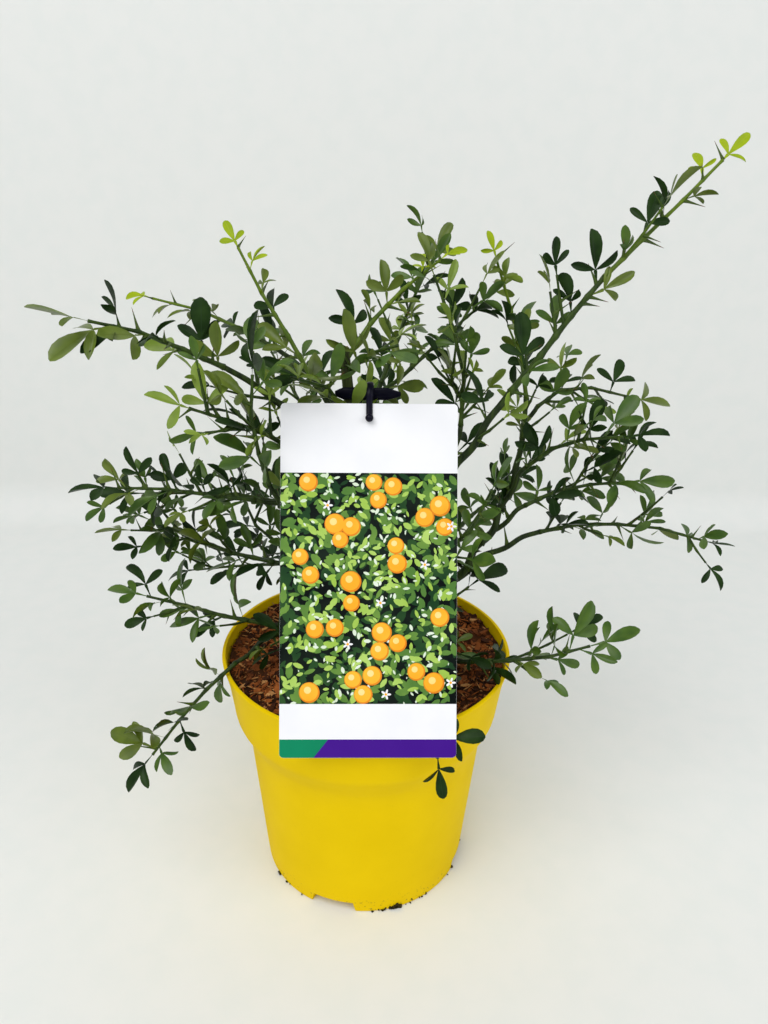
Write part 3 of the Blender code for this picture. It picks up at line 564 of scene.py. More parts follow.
@dataclass(frozen=True)
class BarkFinish(Finish):
    """Bark with fine streaks along the limb."""

    streak: float = 260.0

    def dress(self, shader: Shader) -> None:
        """Stretch noise along Z into streaks, and raise it."""
        inputs = {"Vector": shader.place(), "Scale": (1.0, 1.0, 0.18)}
        stretched = shader.node("ShaderNodeMapping", {}, inputs)
        streaks = shader.noise(self.streak, 5.0, stretched)
        shader.set(
            Base_Color=shader.mix(streaks.step(0.35, 0.68), self.base, self.other),
            Roughness=self.roughness, Specular_IOR_Level=self.gloss,
        )
        shader.bump(streaks, 0.5 * MM, 0.6)


@dataclass(frozen=True)
class PotFinish(Finish):
    """Moulded plastic with faint ripples, dulled and dusty toward its foot."""

    dust: tuple = (0.16, 0.09, 0.03, 1.0)

    def dress(self, shader: Shader) -> None:
        """Vary gloss by broad noise, and add dust in specks that grow denser near the floor."""
        height = shader.axis(shader.place(), "Z")
        low = 1.0 - height.step(0.0, 0.02)
        specks = shader.noise(420.0, 4.0).step(0.6, 0.7)
        smears = shader.noise(18.0, 4.0)
        tint = shader.mix(smears.step(0.3, 0.75), self.base, self.other)
        shader.set(
            Base_Color=shader.mix(specks * (low * 0.75 + 0.03), tint, self.dust),
            Roughness=smears * 0.2 + self.roughness, Specular_IOR_Level=self.gloss,
        )
        shader.bump(shader.noise(900.0, 2.0), 0.05 * MM, 0.3)


YELLOW = PotFinish("yellow_plastic_finish", colour(0.90, 0.625, 0.0), colour(0.85, 0.585, 0.0), 0.5, 0.05)
EARTH = Finish("earth_finish", colour(0.030, 0.011, 0.004), colour(0.075, 0.026, 0.008), 0.95, 0.1)
CHIP_RED = Finish("chip_red_finish", colour(0.33, 0.098, 0.022), colour(0.15, 0.042, 0.011), 0.9, 0.12)
CHIP_DARK = Finish("chip_dark_finish", colour(0.034, 0.012, 0.006), colour(0.085, 0.028, 0.011), 0.9, 0.1)
CRUMB = Finish("crumb_finish", colour(0.018, 0.016, 0.006), colour(0.060, 0.045, 0.012), 0.95, 0.1)
CHIP_PALE = Finish("chip_pale_finish", colour(0.58, 0.29, 0.10), colour(0.40, 0.18, 0.06), 0.9, 0.15)
TRUNK_BARK = BarkFinish("trunk_bark_finish", colour(0.016, 0.022, 0.005), colour(0.062, 0.080, 0.014), 0.75)
# The boughs' bark is darker than the twigs' and the trunk's: partly its own colour, partly painted shade for the
# crown's shaded inside.
BOUGH_BARK_PAINTED_SHADE = BarkFinish("bough_bark_finish", colour(0.007, 0.017, 0.002), colour(0.026, 0.048, 0.004), 0.6)
TWIG_BARK = BarkFinish("twig_bark_finish", colour(0.018, 0.040, 0.004), colour(0.042, 0.078, 0.006), 0.55)
LIGHT_BARK = BarkFinish("light_bark_finish", colour(0.060, 0.112, 0.006), colour(0.095, 0.152, 0.010), 0.5)
YOUNG_BARK = BarkFinish("young_bark_finish", colour(0.085, 0.150, 0.003), colour(0.130, 0.200, 0.006), 0.5)
BARKS = {Bark.GREEN: TWIG_BARK, Bark.LIGHT: LIGHT_BARK, Bark.YOUNG: YOUNG_BARK}
THORN_GREEN = Finish("thorn_finish", colour(0.040, 0.075, 0.008), colour(0.070, 0.110, 0.012), 0.5)
THORN_BROWN = Finish("thorn_tip_finish", colour(0.10, 0.035, 0.015), colour(0.16, 0.06, 0.02), 0.5)
CUT_WOOD = Finish("cut_wood_finish", colour(0.30, 0.22, 0.11), colour(0.20, 0.14, 0.07), 0.8)
# Besides the leaves' own greens, the dark group's colour also serves as painted shade, and the olive and bright
# groups' colours as painted light.
LEAVES = {
    Tone.DARK: LeafFinish(
        "leaf_dark_finish", colour(0.0070, 0.0230, 0.0030), colour(0.018, 0.046, 0.007), 0.40, gloss=0.12,
    ),
    Tone.GREEN: LeafFinish(
        "leaf_green_finish", colour(0.040, 0.095, 0.010), colour(0.074, 0.142, 0.014), 0.38, gloss=0.32,
    ),
    Tone.OLIVE: LeafFinish(
        "leaf_olive_finish", colour(0.080, 0.124, 0.009), colour(0.120, 0.172, 0.015), 0.36, gloss=0.38,
    ),
    Tone.BRIGHT: LeafFinish(
        "leaf_bright_finish", colour(0.150, 0.235, 0.022), colour(0.215, 0.310, 0.034), 0.40, gloss=0.36,
    ),
    Tone.YOUNG: LeafFinish(
        "leaf_young_finish", colour(0.25, 0.350, 0.004), colour(0.33, 0.430, 0.008), 0.5, gloss=0.15,
    ),
}
RIBS = {
    Tone.DARK: Finish("rib_dark_finish", colour(0.014, 0.036, 0.010), colour(0.020, 0.046, 0.013), 0.6),
    Tone.GREEN: Finish("rib_green_finish", colour(0.060, 0.115, 0.028), colour(0.075, 0.13, 0.03), 0.6),
    Tone.OLIVE: Finish("rib_olive_finish", colour(0.110, 0.150, 0.020), colour(0.13, 0.17, 0.022), 0.6),
    Tone.BRIGHT: Finish("rib_bright_finish", colour(0.20, 0.27, 0.04), colour(0.22, 0.30, 0.045), 0.6),
    Tone.YOUNG: Finish("rib_young_finish", colour(0.32, 0.42, 0.02), colour(0.36, 0.46, 0.03), 0.6),
}
WHITE_CARD = Finish("white_card_finish", colour(0.90, 0.90, 0.93), colour(0.87, 0.875, 0.91), 0.5, 0.1)
BLACK_PLASTIC = Finish("black_plastic_finish", colour(0.003, 0.003, 0.010), colour(0.006, 0.005, 0.016), 0.32, 0.12)
PRINT_GROUND = Finish("print_ground_finish", colour(0.0020, 0.0045, 0.0040), colour(0.010, 0.018, 0.012), 0.45, 0.08)
PRINT_SHADE = Finish("print_shade_finish", colour(0.012, 0.045, 0.016), colour(0.030, 0.085, 0.024), 0.45, 0.08)
PRINT_LEAF = Finish("print_leaf_finish", colour(0.085, 0.20, 0.040), colour(0.16, 0.30, 0.055), 0.45, 0.08)
PRINT_LIGHT = Finish("print_light_finish", colour(0.33, 0.52, 0.075), colour(0.46, 0.66, 0.16), 0.45, 0.08)
PRINT_SHINE = Finish("print_shine_finish", colour(0.66, 0.78, 0.58), colour(0.78, 0.86, 0.74), 0.45, 0.08)
PRINT_RIND = Finish("print_rind_finish", colour(0.78, 0.23, 0.010), colour(0.82, 0.27, 0.014), 0.33)
PRINT_FRUIT = Finish("print_fruit_finish", colour(0.96, 0.42, 0.020), colour(1.0, 0.50, 0.035), 0.33)
PRINT_GLOW = Finish("print_glow_finish", colour(1.0, 0.72, 0.22), colour(1.0, 0.76, 0.30), 0.33)
PRINT_GREEN = Finish("print_green_finish", colour(0.0, 0.24, 0.11), colour(0.0, 0.22, 0.10), 0.33)
PRINT_VIOLET = Finish("print_violet_finish", colour(0.050, 0.002, 0.25), colour(0.055, 0.004, 0.26), 0.33)


@dataclass
class Arc:
    """A bowed line from foot to tip, and the radius of the limb at both ends."""

    foot: Vector
    tip: Vector
    rise: float
    swing: float
    thick: float
    thin: float

    def point(self, share: float) -> Vector:
        """Return the point at a share: a straight line plus a parabola's bow."""
        ahead = (self.tip - self.foot).normalized()
        lift = (UP - ahead * ahead.z).normalized()
        bow = lift * self.rise + UP.cross(ahead).normalized() * self.swing
        return self.foot.lerp(self.tip, share) + bow * (4 * share * (1 - share))

    def points(self, shares: Array) -> Array:
        """Return the points at many shares."""
        return np.array([self.point(share) for share in shares])

    def radius(self, share: float) -> float:
        """Return the limb's radius at a share."""
        return between(self.thick, self.thin, share)

    def length(self, start: float = 0.0, end: float = 1.0) -> float:
        """Return the length between two shares."""
        line = self.points(np.linspace(start, end, 25))
        return float(np.linalg.norm(np.diff(line, axis=0), axis=1).sum())


def branch_arcs() -> dict[str, Arc]:
    """Return the arc of the trunk and of each branch, by name."""
    arcs = {"trunk": Arc(TRUNK_FOOT, TRUNK_TIP, 0.0, TRUNK_SWING, TRUNK_RADIUS, TRUNK_TIP_RADIUS)}
    for branch in BRANCHES:
        angle = math.radians(branch.bearing)
        out = Vector((math.cos(angle), math.sin(angle), 0.0)) * branch.reach
        foot = arcs[branch.parent].point(branch.share)
        arcs[branch.name] = Arc(
            foot, (out + UP * branch.height) * MM, branch.rise * MM, branch.swing * MM,
            branch.thick / 2 * MM, TWIG_TIP_RADIUS,
        )
    return arcs


@dataclass
class Leaf:
    """One whole leaf: where its stalk starts, its directions, its sizes and its colour group."""

    foot: Vector
    ahead: Vector
    face: Vector
    stalk: float
    length: float
    width: float
    tone: Tone


@dataclass
class Twig:
    """A line of nodes with a radius at each, and the colour of its bark."""

    points: list[Vector]
    radii: list[float]
    bark: Bark = Bark.GREEN


@dataclass
class Thorn:
    """A spike: its base on the twig's axis, its direction and the twig's, length and base radius."""

    foot: Vector
    ahead: Vector
    along: Vector
    length: float
    base: float


class Spray:
    """A mass of foliage: its packed stem, shoots, thorns and leaves, and the finer growth on them."""

    def __init__(
        self, branch: Branch, arc: Arc, packed: BVHTree, solids: BVHTree, hubs: list[Vector],
    ) -> None:
        """Start with the stem.

        Args:
            branch: the limb that carries it.
            arc: its line.
            packed: the mass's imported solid, which tells what grew in the source.
            solids: the pot, soil and label, which nothing new may touch.
            hubs: the places of all leaves so far.
        """
        self.branch = branch
        self.arc = arc
        self.packed = packed
        self.solids = solids
        self.hubs = hubs
        self.finer = False
        self.random = random.Random(f"{branch.name} {SEED}")
        self.points = self.nodes()
        self.radii = [arc.radius(share) for share in self.shares()]
        self.ahead = (self.points[-1] - self.points[-2]).normalized()
        self.twigs = self.stretches()
        self.leaves: list[Leaf] = []
        self.thorns: list[Thorn] = []

    def shares(self) -> list[float]:
        """Return the shares along the branch at which the stem has nodes."""
        steps = 2 * max(2, round(self.arc.length(self.branch.bare, 1.0) / NODE_STEP / 2))
        return [between(self.branch.bare, 1.0, step / steps) for step in range(steps + 1)]

    def nodes(self) -> list[Vector]:
        """Return the stem's nodes, with a small bend at every second one."""
        points = [self.arc.point(share) for share in self.shares()]
        for index in range(2, len(points) - 1, 2):
            ahead = (points[index + 2] - points[index - 2]).normalized()
            turn = Matrix.Rotation(math.radians(index * GOLDEN_ANGLE), 3, ahead)
            points[index] = points[index] + turn @ ahead.orthogonal().normalized() * ZIGZAG
        for index in range(1, len(points), 2):
            points[index] = (points[index - 1] + points[index + 1]) / 2
        return points

    def stretches(self) -> list[Twig]:
        """Return the stem as twigs, one for each stretch of a like bark."""
        barks = [self.bark(point) for point in self.points]
        starts = [index for index, bark in enumerate(barks) if index == 0 or bark is not barks[index - 1]]
        ends = starts[1:] + [len(barks) - 1]
        return [
            Twig(self.points[start:end + 1], self.radii[start:end + 1], barks[start])
            for start, end in zip(starts, ends) if end > start
        ]

    def bark(self, point: Vector) -> Bark:
        """Return the bark of a twig that starts at a point."""
        left = (point - self.points[-1]).length
        if not self.branch.young or left > BARE_TIP:
            return Bark.GREEN
        return Bark.LIGHT if left > LIME_TIP else Bark.YOUNG

    def has_room(self, point: Vector, near: bool = True) -> bool:
        """Tell whether a point is in the mass's space, above the soil and not before the label.

        Args:
            point: the place.
            near: test the mass's space too.
        """
        room = self.branch.room * MM
        if near and min((point - node).length for node in self.points[:-1]) > room:
            return False
        if (point - self.points[-1]).dot(self.ahead) > room * TIP_ROOM:
            return False
        over_pot = math.hypot(point.x, point.y) < RIM_RADIUS
        floor = SOIL_LEVEL + SOIL_HEAP + SOIL_CLEAR if over_pot else SOIL_CLEAR
        own = FROM_CARD @ point
        before = abs(own.x) < CARD_WIDTH / 2 + MM * 4 and abs(own.z) < CARD_LENGTH / 2 + MM * 4
        return point.z > floor and not (before and own.y < MM * 2)

    def stands(self, points: tuple[Vector, ...], reach: float) -> bool:
        """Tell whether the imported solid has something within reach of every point."""
        return all(self.packed.find_nearest(point, reach)[0] is not None for point in points)

    def is_clear(self, start: Vector, end: Vector, margin: float, near: bool = True) -> bool:
        """Tell whether a stroke from start to end keeps a margin to the solids and has room."""
        if not (self.has_room(start, near) and self.has_room(end, near)):
            return False
        for step in range(4):
            if self.solids.find_nearest(start.lerp(end, step / 3), margin)[0] is not None:
                return False
        way = end - start
        return self.solids.ray_cast(start, way.normalized(), way.length + margin)[0] is None

    def grow(self) -> None:
        """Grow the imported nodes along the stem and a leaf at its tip, then the finer growth."""
        for index in range(1, len(self.points) - 1):
            ahead = (self.points[index + 1] - self.points[index - 1]).normalized()
            self.grow_node(self.points[index], ahead, index, self.radii[index], True)
        self.add_leaf(self.points[-1] - self.ahead * MM, self.ahead, self.ahead, self.random.random())
        self.finer = True
        self.random = random.Random(self.branch.name + " finer")
        for twig in list(self.twigs):
            self.grow_finer(twig)
        if self.branch.bare:
            self.grow_on_bough()

    def grow_node(self, point: Vector, ahead: Vector, index: int, radius: float, may_shoot: bool) -> None:
        """Grow at one node: a side shoot or a thorn by chance, and a leaf at every odd node."""
        draw = [self.random.random() for _ in range(8)]
        angle = math.radians(index * GOLDEN_ANGLE + between(-25, 25, draw[0]))
        out = Matrix.Rotation(angle, 3, ahead) @ ahead.orthogonal().normalized()
        if may_shoot and draw[1] < SHOOT_CHANCE:
            self.add_shoot(point, (ahead * 0.7 + out * 0.7 + UP * 0.25).normalized(), draw[2])
        elif draw[3] < THORN_CHANCE:
            self.add_thorn(point, (ahead * 0.4 + out * 0.9).normalized(), ahead, radius, draw[4])
        if index % 2 or draw[5] < LEAF_CHANCE:
            stalk = (ahead * 0.5 + out * 0.8 + UP * 0.55).normalized()
            self.add_leaf(point, stalk, ahead, draw[6])

    def add_shoot(self, foot: Vector, ahead: Vector, size: float, share: float = 1.0) -> None:
        """Add a side shoot with nodes of its own, if it stands in the solid or is clear."""
        length = between(*SHOOT_LENGTHS, size) * share
        steps = max(2, round(length / NODE_STEP))
        bend = UP * (length * SHOOT_BEND)
        points = [foot + ahead * (length * k / steps) + bend * (k / steps) ** 2 for k in range(steps + 1)]
        tip_ahead = (points[-1] - points[-2]).normalized()
        if self.finer:
            if not self.is_clear(points[1], points[-1], 2 * MM):
                return
            if not self.add_leaf(points[-1] - tip_ahead * MM, tip_ahead, tip_ahead, size, share):
                return
        elif not self.stands(tuple(points[1:]), 1.5 * MM):
            return
        else:
            self.add_leaf(points[-1] - tip_ahead * MM, tip_ahead, tip_ahead, size)
        radii = [between(SHOOT_RADIUS, SHOOT_TIP_RADIUS, k / steps) for k in range(steps + 1)]
        self.twigs.append(Twig(points, radii, self.bark(points[0])))
        for k in range(1, steps):
            self.grow_node(points[k], (points[k + 1] - points[k - 1]).normalized(), k + 1, radii[k], False)

    def add_thorn(self, foot: Vector, ahead: Vector, along: Vector, radius: float, size: float) -> None:
        """Add a thorn if it stands in the solid or is clear."""
        length = between(*THORN_LENGTHS, size) + radius
        tip = foot + ahead * length
        if self.finer:
            fits = self.is_clear(foot + ahead * (2 * radius), tip, MM, near=False)
        else:
            fits = self.stands((tip,), MM / 4)
        if fits:
            self.thorns.append(Thorn(foot, ahead, along, length, min(THORN_RADIUS, radius * 0.95)))

    def age(self, point: Vector) -> float:
        """Return 1 for old growth, falling toward a young stem's tip."""
        if not self.branch.young:
            return 1.0
        return between(YOUNG_SIZE, 1.0, min(1.0, (point - self.points[-1]).length / YOUNG_REACH))

    def tone(self, point: Vector, draw: float) -> Tone:
        """Return the colour group of a leaf by its age, its branch, its height and a draw; lower and shaded leaves get
        more painted shade, higher and open ones more painted light.
        """
        if self.age(point) < YOUNG_AGE:
            return Tone.YOUNG
        if self.age(point) < BRIGHT_AGE:
            shares = YOUNG_TONES
        elif self.branch.tone is Tone.BRIGHT:
            shares = FRESH_AND_PAINTED_LIGHT_TONES
        elif self.branch.tone is Tone.DARK:
            shares = SHADE_TONES
        else:
            shares = LOW_TONES if point.z < LOW_GROWTH else HIGH_TONES
        return next(tone for tone, share in shares.items() if draw < share)

    def add_leaf(
        self, foot: Vector, ahead: Vector, stem_ahead: Vector, size: float, share: float = 1.0,
    ) -> bool:
        """Add a leaf with its face to the light, turned on its stalk until it stands or is clear."""
        growth = self.age(foot) * share
        stalk = between(*STALK_LENGTHS, size) * growth
        length = between(*BLADE_LENGTHS, (size * 7) % 1) * growth
        length *= max(1.0, self.branch.leaf) if self.finer else self.branch.leaf
        lean = Vector((math.sin(size * 50), math.cos(size * 70), math.sin(size * 90)))
        face = (UP + LIGHT * 0.5 + lean) if self.finer else (LIGHT + stem_ahead * 0.3 + lean * 0.55)
        face = (face - ahead * face.dot(ahead)).normalized()
        hub = foot + ahead * stalk
        if self.finer and any((hub - other).length < HUB_SPACING for other in self.hubs):
            return False
        for shrink, turn in product(SHRINKS, TURNS):
            up = Matrix.Rotation(math.radians(turn), 3, ahead) @ face
            side = up.cross(ahead)
            spread = math.radians(SIDE_SPREAD)
            blade = length * shrink
            right = hub + (ahead * math.cos(spread) + side * math.sin(spread)) * (blade * SIDE_BLADE)
            left = hub + (ahead * math.cos(spread) - side * math.sin(spread)) * (blade * SIDE_BLADE)
            tips = (hub + ahead * blade, right, left)
            if self.finer:
                fits = all(self.is_clear(hub, tip, 1.5 * MM) for tip in tips)
            else:
                fits = self.stands(tips, 0.5 * MM)
            if fits:
                self.hubs.append(hub)
                blade *= 1.0 if self.finer else between(*LEAF_SIZES, (size * 17) % 1)
                tone = self.tone(foot, (size * 13) % 1)
                width = SLIM_TONES.get(self.branch.tone or tone, 1.0)
                self.leaves.append(Leaf(foot, ahead, up, stalk, blade, width, tone))
                return True
        return False

    def grow_finer(self, twig: Twig) -> None:
        """Add finer leaves, thorns and short twigs between the nodes of a twig.

        Near a young stem's tip every node gets a thorn, and many a small leaf beside it.
        """
        for index in range(1, len(twig.points)):
            low, high = twig.points[index - 1], twig.points[index]
            ahead = (high - low).normalized()
            tries = FULLER_TRIES if self.branch.name in FULLER else FINER_TRIES
            for _ in range(tries if twig.bark is Bark.GREEN else 1):
                draw = [self.random.random() for _ in range(6)]
                out = Matrix.Rotation(math.tau * draw[0], 3, ahead) @ ahead.orthogonal().normalized()
                foot = low.lerp(high, draw[1])
                stalk = (ahead * 0.5 + out * 0.8 + UP * 0.45).normalized()
                if twig.bark is not Bark.GREEN:
                    self.add_thorn(high, (ahead * 0.4 + out * 0.9).normalized(), ahead, twig.radii[index], draw[4])
                    if draw[2] < YOUNG_LEAF_CHANCE:
                        self.add_leaf(high, stalk, ahead, draw[3], between(*YOUNG_LEAF_SIZES, draw[4]))
                    continue
                if draw[2] < FINER_SHOOT_CHANCE:
                    way = (ahead * 0.6 + out * 0.75 + UP * 0.2).normalized()
                    self.add_shoot(foot, way, draw[3], FINER_SHOOT_SIZE)
                elif draw[2] < FINER_SHOOT_CHANCE + FINER_LEAF_CHANCE:
                    self.add_leaf(foot, stalk, ahead, draw[3], between(*FINER_LEAF_SIZES, draw[4]))
                if draw[5] < FINER_THORN_CHANCE:
                    self.add_thorn(foot, (ahead * 0.4 + out * 0.9).normalized(), ahead, twig.radii[index], draw[4])

    def grow_on_bough(self) -> None:
        """Add thorns along the bare bough, and leaves and short twigs on its outer half."""
        length = self.arc.length(0.0, self.branch.bare)
        for step in range(1, int(length / BOUGH_THORN_STEP)):
            share = self.branch.bare * step * BOUGH_THORN_STEP / length
            draw = [self.random.random() for _ in range(4)]
            foot = self.arc.point(share)
            ahead = (self.arc.point(share + 0.01) - foot).normalized()
            out = Matrix.Rotation(math.tau * draw[0], 3, ahead) @ ahead.orthogonal().normalized()
            radius = self.arc.radius(share)
            self.add_thorn(foot, (ahead * 0.3 + out).normalized(), ahead, radius, draw[2])
            if share < self.branch.bare / 2:
                continue
            if draw[1] < 0.3:
                self.add_shoot(foot, (ahead * 0.5 + out * 0.75 + UP * 0.3).normalized(), draw[3], FINER_SHOOT_SIZE)
            elif draw[1] < 0.8:
                stalk = (ahead * 0.4 + out * 0.8 + UP * 0.5).normalized()
                self.add_leaf(foot + out * (radius * 0.6), stalk, ahead, draw[3], FINER_LEAF_SIZES[1])


@dataclass
class Leaflets:
    """The places and shapes of many leaflets, one row of each array for a leaflet."""

    hub: Array
    out: Array
    face: Array
    length: Array
    width: Array
    fold: Array
    curl: Array
    twist: Array


@dataclass
class Foliage:
    """All leaves, twigs and thorns of the tree, and the rules of their shapes."""

    arcs: dict[str, Arc]
    rows: tuple[float, ...] = (0.02, 0.22, 0.43, 0.62, 0.79, 0.92, 0.995)
    columns: tuple[float, ...] = (-1.0, 0.0, 1.0)
    blade_width: float = 0.47
    wedge: float = 1.1
    blunt: float = 0.56
    stem_width: float = 0.28 * MM
    rib_width: float = 0.20 * MM
    rib_lift: float = 0.10 * MM
    stalk_rows: tuple[float, ...] = (0.0, 0.4, 0.75, 0.93, 1.03)
    stalk_widths: tuple[float, ...] = (0.35, 0.5, 0.95, 1.15, 0.4)

    def leaflets(self, leaves: list[Leaf], draw: np.random.Generator) -> Leaflets:
        """Return the three leaflets of each leaf, every one a little different by chance."""
        ahead = np.array([leaf.ahead for leaf in leaves])
        face = np.array([leaf.face for leaf in leaves])
        hub = np.array([leaf.foot for leaf in leaves]) + ahead * np.array([[leaf.stalk] for leaf in leaves])
        length = np.array([leaf.length for leaf in leaves])
        side = np.cross(ahead, face)
        spread = np.radians(draw.uniform(48, 70, len(leaves)))
        angle = np.concatenate([np.radians(draw.normal(0, 7, len(leaves))), spread, -spread])[:, None]
        lift = draw.normal(0.0, 0.13, (3 * len(leaves), 1))
        ahead, face, side = (np.tile(way, (3, 1)) for way in (ahead, face, side))
        out = unit(ahead * np.cos(angle) + side * np.sin(angle) + face * lift)
        count = len(out)
        face = unit(face - out * (face * out).sum(1, keepdims=True))
        roll = np.radians(draw.normal(0, 16, (count, 1)))
        narrow = np.tile([leaf.width for leaf in leaves], 3)
        return Leaflets(
            hub=np.tile(hub, (3, 1)), out=out, face=face * np.cos(roll) + np.cross(out, face) * np.sin(roll),
            length=np.concatenate([length, length * SIDE_BLADE, length * SIDE_BLADE]) * draw.uniform(0.9, 1.1, count),
            width=draw.uniform(0.84, 1.12, count) * narrow, fold=np.radians(draw.uniform(8, 48, count)),
            curl=draw.uniform(0.0, 0.38, count), twist=np.radians(draw.normal(0, 20, count)),
        )

    def blades(self, leaflets: Leaflets, is_rib: bool) -> Array:
        """Return the corners of many leaflets as one array, or of the ribs along their middles.

        At u from 0 at the hub to 1 at the tip and v from -1 to 1 across, half the width is
        w = W L / 2 times u^wedge (1 - u)^blunt over its own maximum, and a little more at the
        hub, or a rib's that tapers.
        The halves are folded up by an angle f and the blade is twisted by an angle t u, so
        corner = hub + out L u + side' v w cos f + face' |v| w sin f - face curl L u^2.
        """
        u = np.array(self.rows)[None, :, None, None]
        v = np.array(self.columns)[None, None, :, None]
        length, width, fold, curl, twist = (
            value[:, None, None, None] for value in
            (leaflets.length, leaflets.width, leaflets.fold, leaflets.curl, leaflets.twist)
        )
        hub, out, face = (value[:, None, None, :] for value in (leaflets.hub, leaflets.out, leaflets.face))
        side = np.cross(out, face)
        turned_side = side * np.cos(twist * u) + face * np.sin(twist * u)
        turned_face = face * np.cos(twist * u) - side * np.sin(twist * u)
        broadest = self.wedge / (self.wedge + self.blunt)
        shape = u**self.wedge * (1 - u)**self.blunt
        half = self.blade_width / 2 * length * width * shape
        half = half / (broadest**self.wedge * (1 - broadest)**self.blunt) + self.stem_width * (1 - u)**4
        raised = 0.0
        if is_rib:
            half = self.rib_width * (0.3 + 1.4 * u * (1 - u))
            raised = self.rib_lift
        return (
            hub + out * (length * u) + turned_side * (v * half * np.cos(fold))
            + turned_face * (np.abs(v) * half * np.sin(fold) + raised) - face * (curl * length * u**2)
        )

    def stalks(self, leaves: list[Leaf]) -> Array:
        """Return the corners of the leaves' stalks, flat and winged: foot + ahead L s + side v w."""
        s = np.array(self.stalk_rows)[None, :, None, None]
        w = np.array(self.stalk_widths)[None, :, None, None] * MM
        v = np.array(self.columns)[None, None, :, None]
        foot, ahead, face = (
            np.array(values)[:, None, None, :] for values in
            ([leaf.foot for leaf in leaves], [leaf.ahead for leaf in leaves], [leaf.face for leaf in leaves])
        )
        stalk = np.array([leaf.stalk for leaf in leaves])[:, None, None, None]
        return foot + ahead * (stalk * s) + np.cross(ahead, face) * (v * w) + face * (np.abs(v) * w * 0.4)

    def add_grids(self, target: Surfaces, corners: Array) -> None:
        """Add many equal grids of corners, given as one array."""
        count, rows, columns = corners.shape[:3]
        start = (np.arange(count) * rows * columns)[:, None, None, None]
        target.add(corners, grid(rows, columns)[None] + start)

    def add_leaves(self, leaves: list[Leaf], tone: Tone, seed: int) -> None:
        """Build the leaves of one colour group: three leaflets on a winged stalk, and their midribs."""
        leaflets = self.leaflets(leaves, np.random.default_rng(seed))
        blades = Surfaces()
        self.add_grids(blades, self.blades(leaflets, False))
        self.add_grids(blades, self.stalks(leaves))
        blades.piece("leaves_" + tone.value, LEAVES[tone])
        ribs = Surfaces()
        self.add_grids(ribs, self.blades(leaflets, True))
        ribs.piece("midribs_" + tone.value, RIBS[tone])

    def grow(self, solids: BVHTree) -> tuple[list[Twig], list[Thorn], list[Leaf]]:
        """Grow every branch's spray, each clear of the solids and of the leaves before it."""
        hubs: list[Vector] = []
        twigs: list[Twig] = []
        thorns: list[Thorn] = []
        leaves: list[Leaf] = []
        for branch in BRANCHES:
            packed = solid_tree((branch.name + "_foliage",))
            spray = Spray(branch, self.arcs[branch.name], packed, solids, hubs)
            spray.grow()
            twigs += spray.twigs
            thorns += spray.thorns
            leaves += spray.leaves
        return twigs, thorns, leaves

    def add_twig(self, target: Surfaces, twig: Twig, sides: int = 6) -> None:
        """Add a twig as a tube through its nodes, swollen at each: r (1 + 0.3 cos^8(pi s))."""
        nodes = np.array(twig.points)
        shares = np.linspace(0, len(nodes) - 1, 5 * (len(nodes) - 1) + 1)
        knots = np.arange(len(nodes))
        path = np.stack([np.interp(shares, knots, nodes[:, axis]) for axis in range(3)], -1)
        radii = np.interp(shares, knots, twig.radii) * (1 + 0.3 * np.cos(math.pi * shares) ** 8)
        add_tube(target, path, radii, sides)

    def add_thorns(self, thorns: list[Thorn], name: str, start: float, finish: Finish) -> bpy.types.Object:
        """Return one piece of the thorns beyond a share s of their length.

        Each is a spike on a broad foot that runs along the twig: r = base (0.9 (1 - s) + 0.8 (1 - s)^6).
        """
        target = Surfaces()
        shares = np.array([0.0, 0.1, 0.25, 0.6, 1.0]) if start == 0.0 else np.linspace(start, 1.0, 3)
        for thorn in thorns:
            path = np.array(thorn.foot) + np.array(thorn.ahead) * (thorn.length * shares)[:, None]
            radii = thorn.base * (0.9 * (1 - shares) + 0.8 * (1 - shares) ** 6) + 0.08 * MM
            add_tube(target, path, radii * (1.03 if start else 1.0), 5, 0.6, np.array(thorn.along))
        return target.piece(name, finish)

    def build(self, solids: BVHTree) -> None:
        """Build the twigs, thorns and leaves, each kind and colour group apart."""
        twigs, thorns, leaves = self.grow(solids)
        foliage = [name for name in frame["nodes"] if name.endswith("_foliage")]
        for bark in Bark:
            target = Surfaces()
            for twig in twigs:
                if twig.bark is bark:
                    self.add_twig(target, twig)
            piece = target.piece("twigs_" + bark.value, BARKS[bark])
            if bark is Bark.GREEN:
                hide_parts(*foliage)
        self.add_thorns(thorns, "thorns", 0.0, THORN_GREEN)
        self.add_thorns(thorns, "thorn_tips", 0.78, THORN_BROWN)
        for seed, tone in enumerate(Tone):
            chosen = [leaf for leaf in leaves if leaf.tone is tone]
            LOG.info("%d leaves of tone %s", len(chosen), tone.value)
            self.add_leaves(chosen, tone, seed)


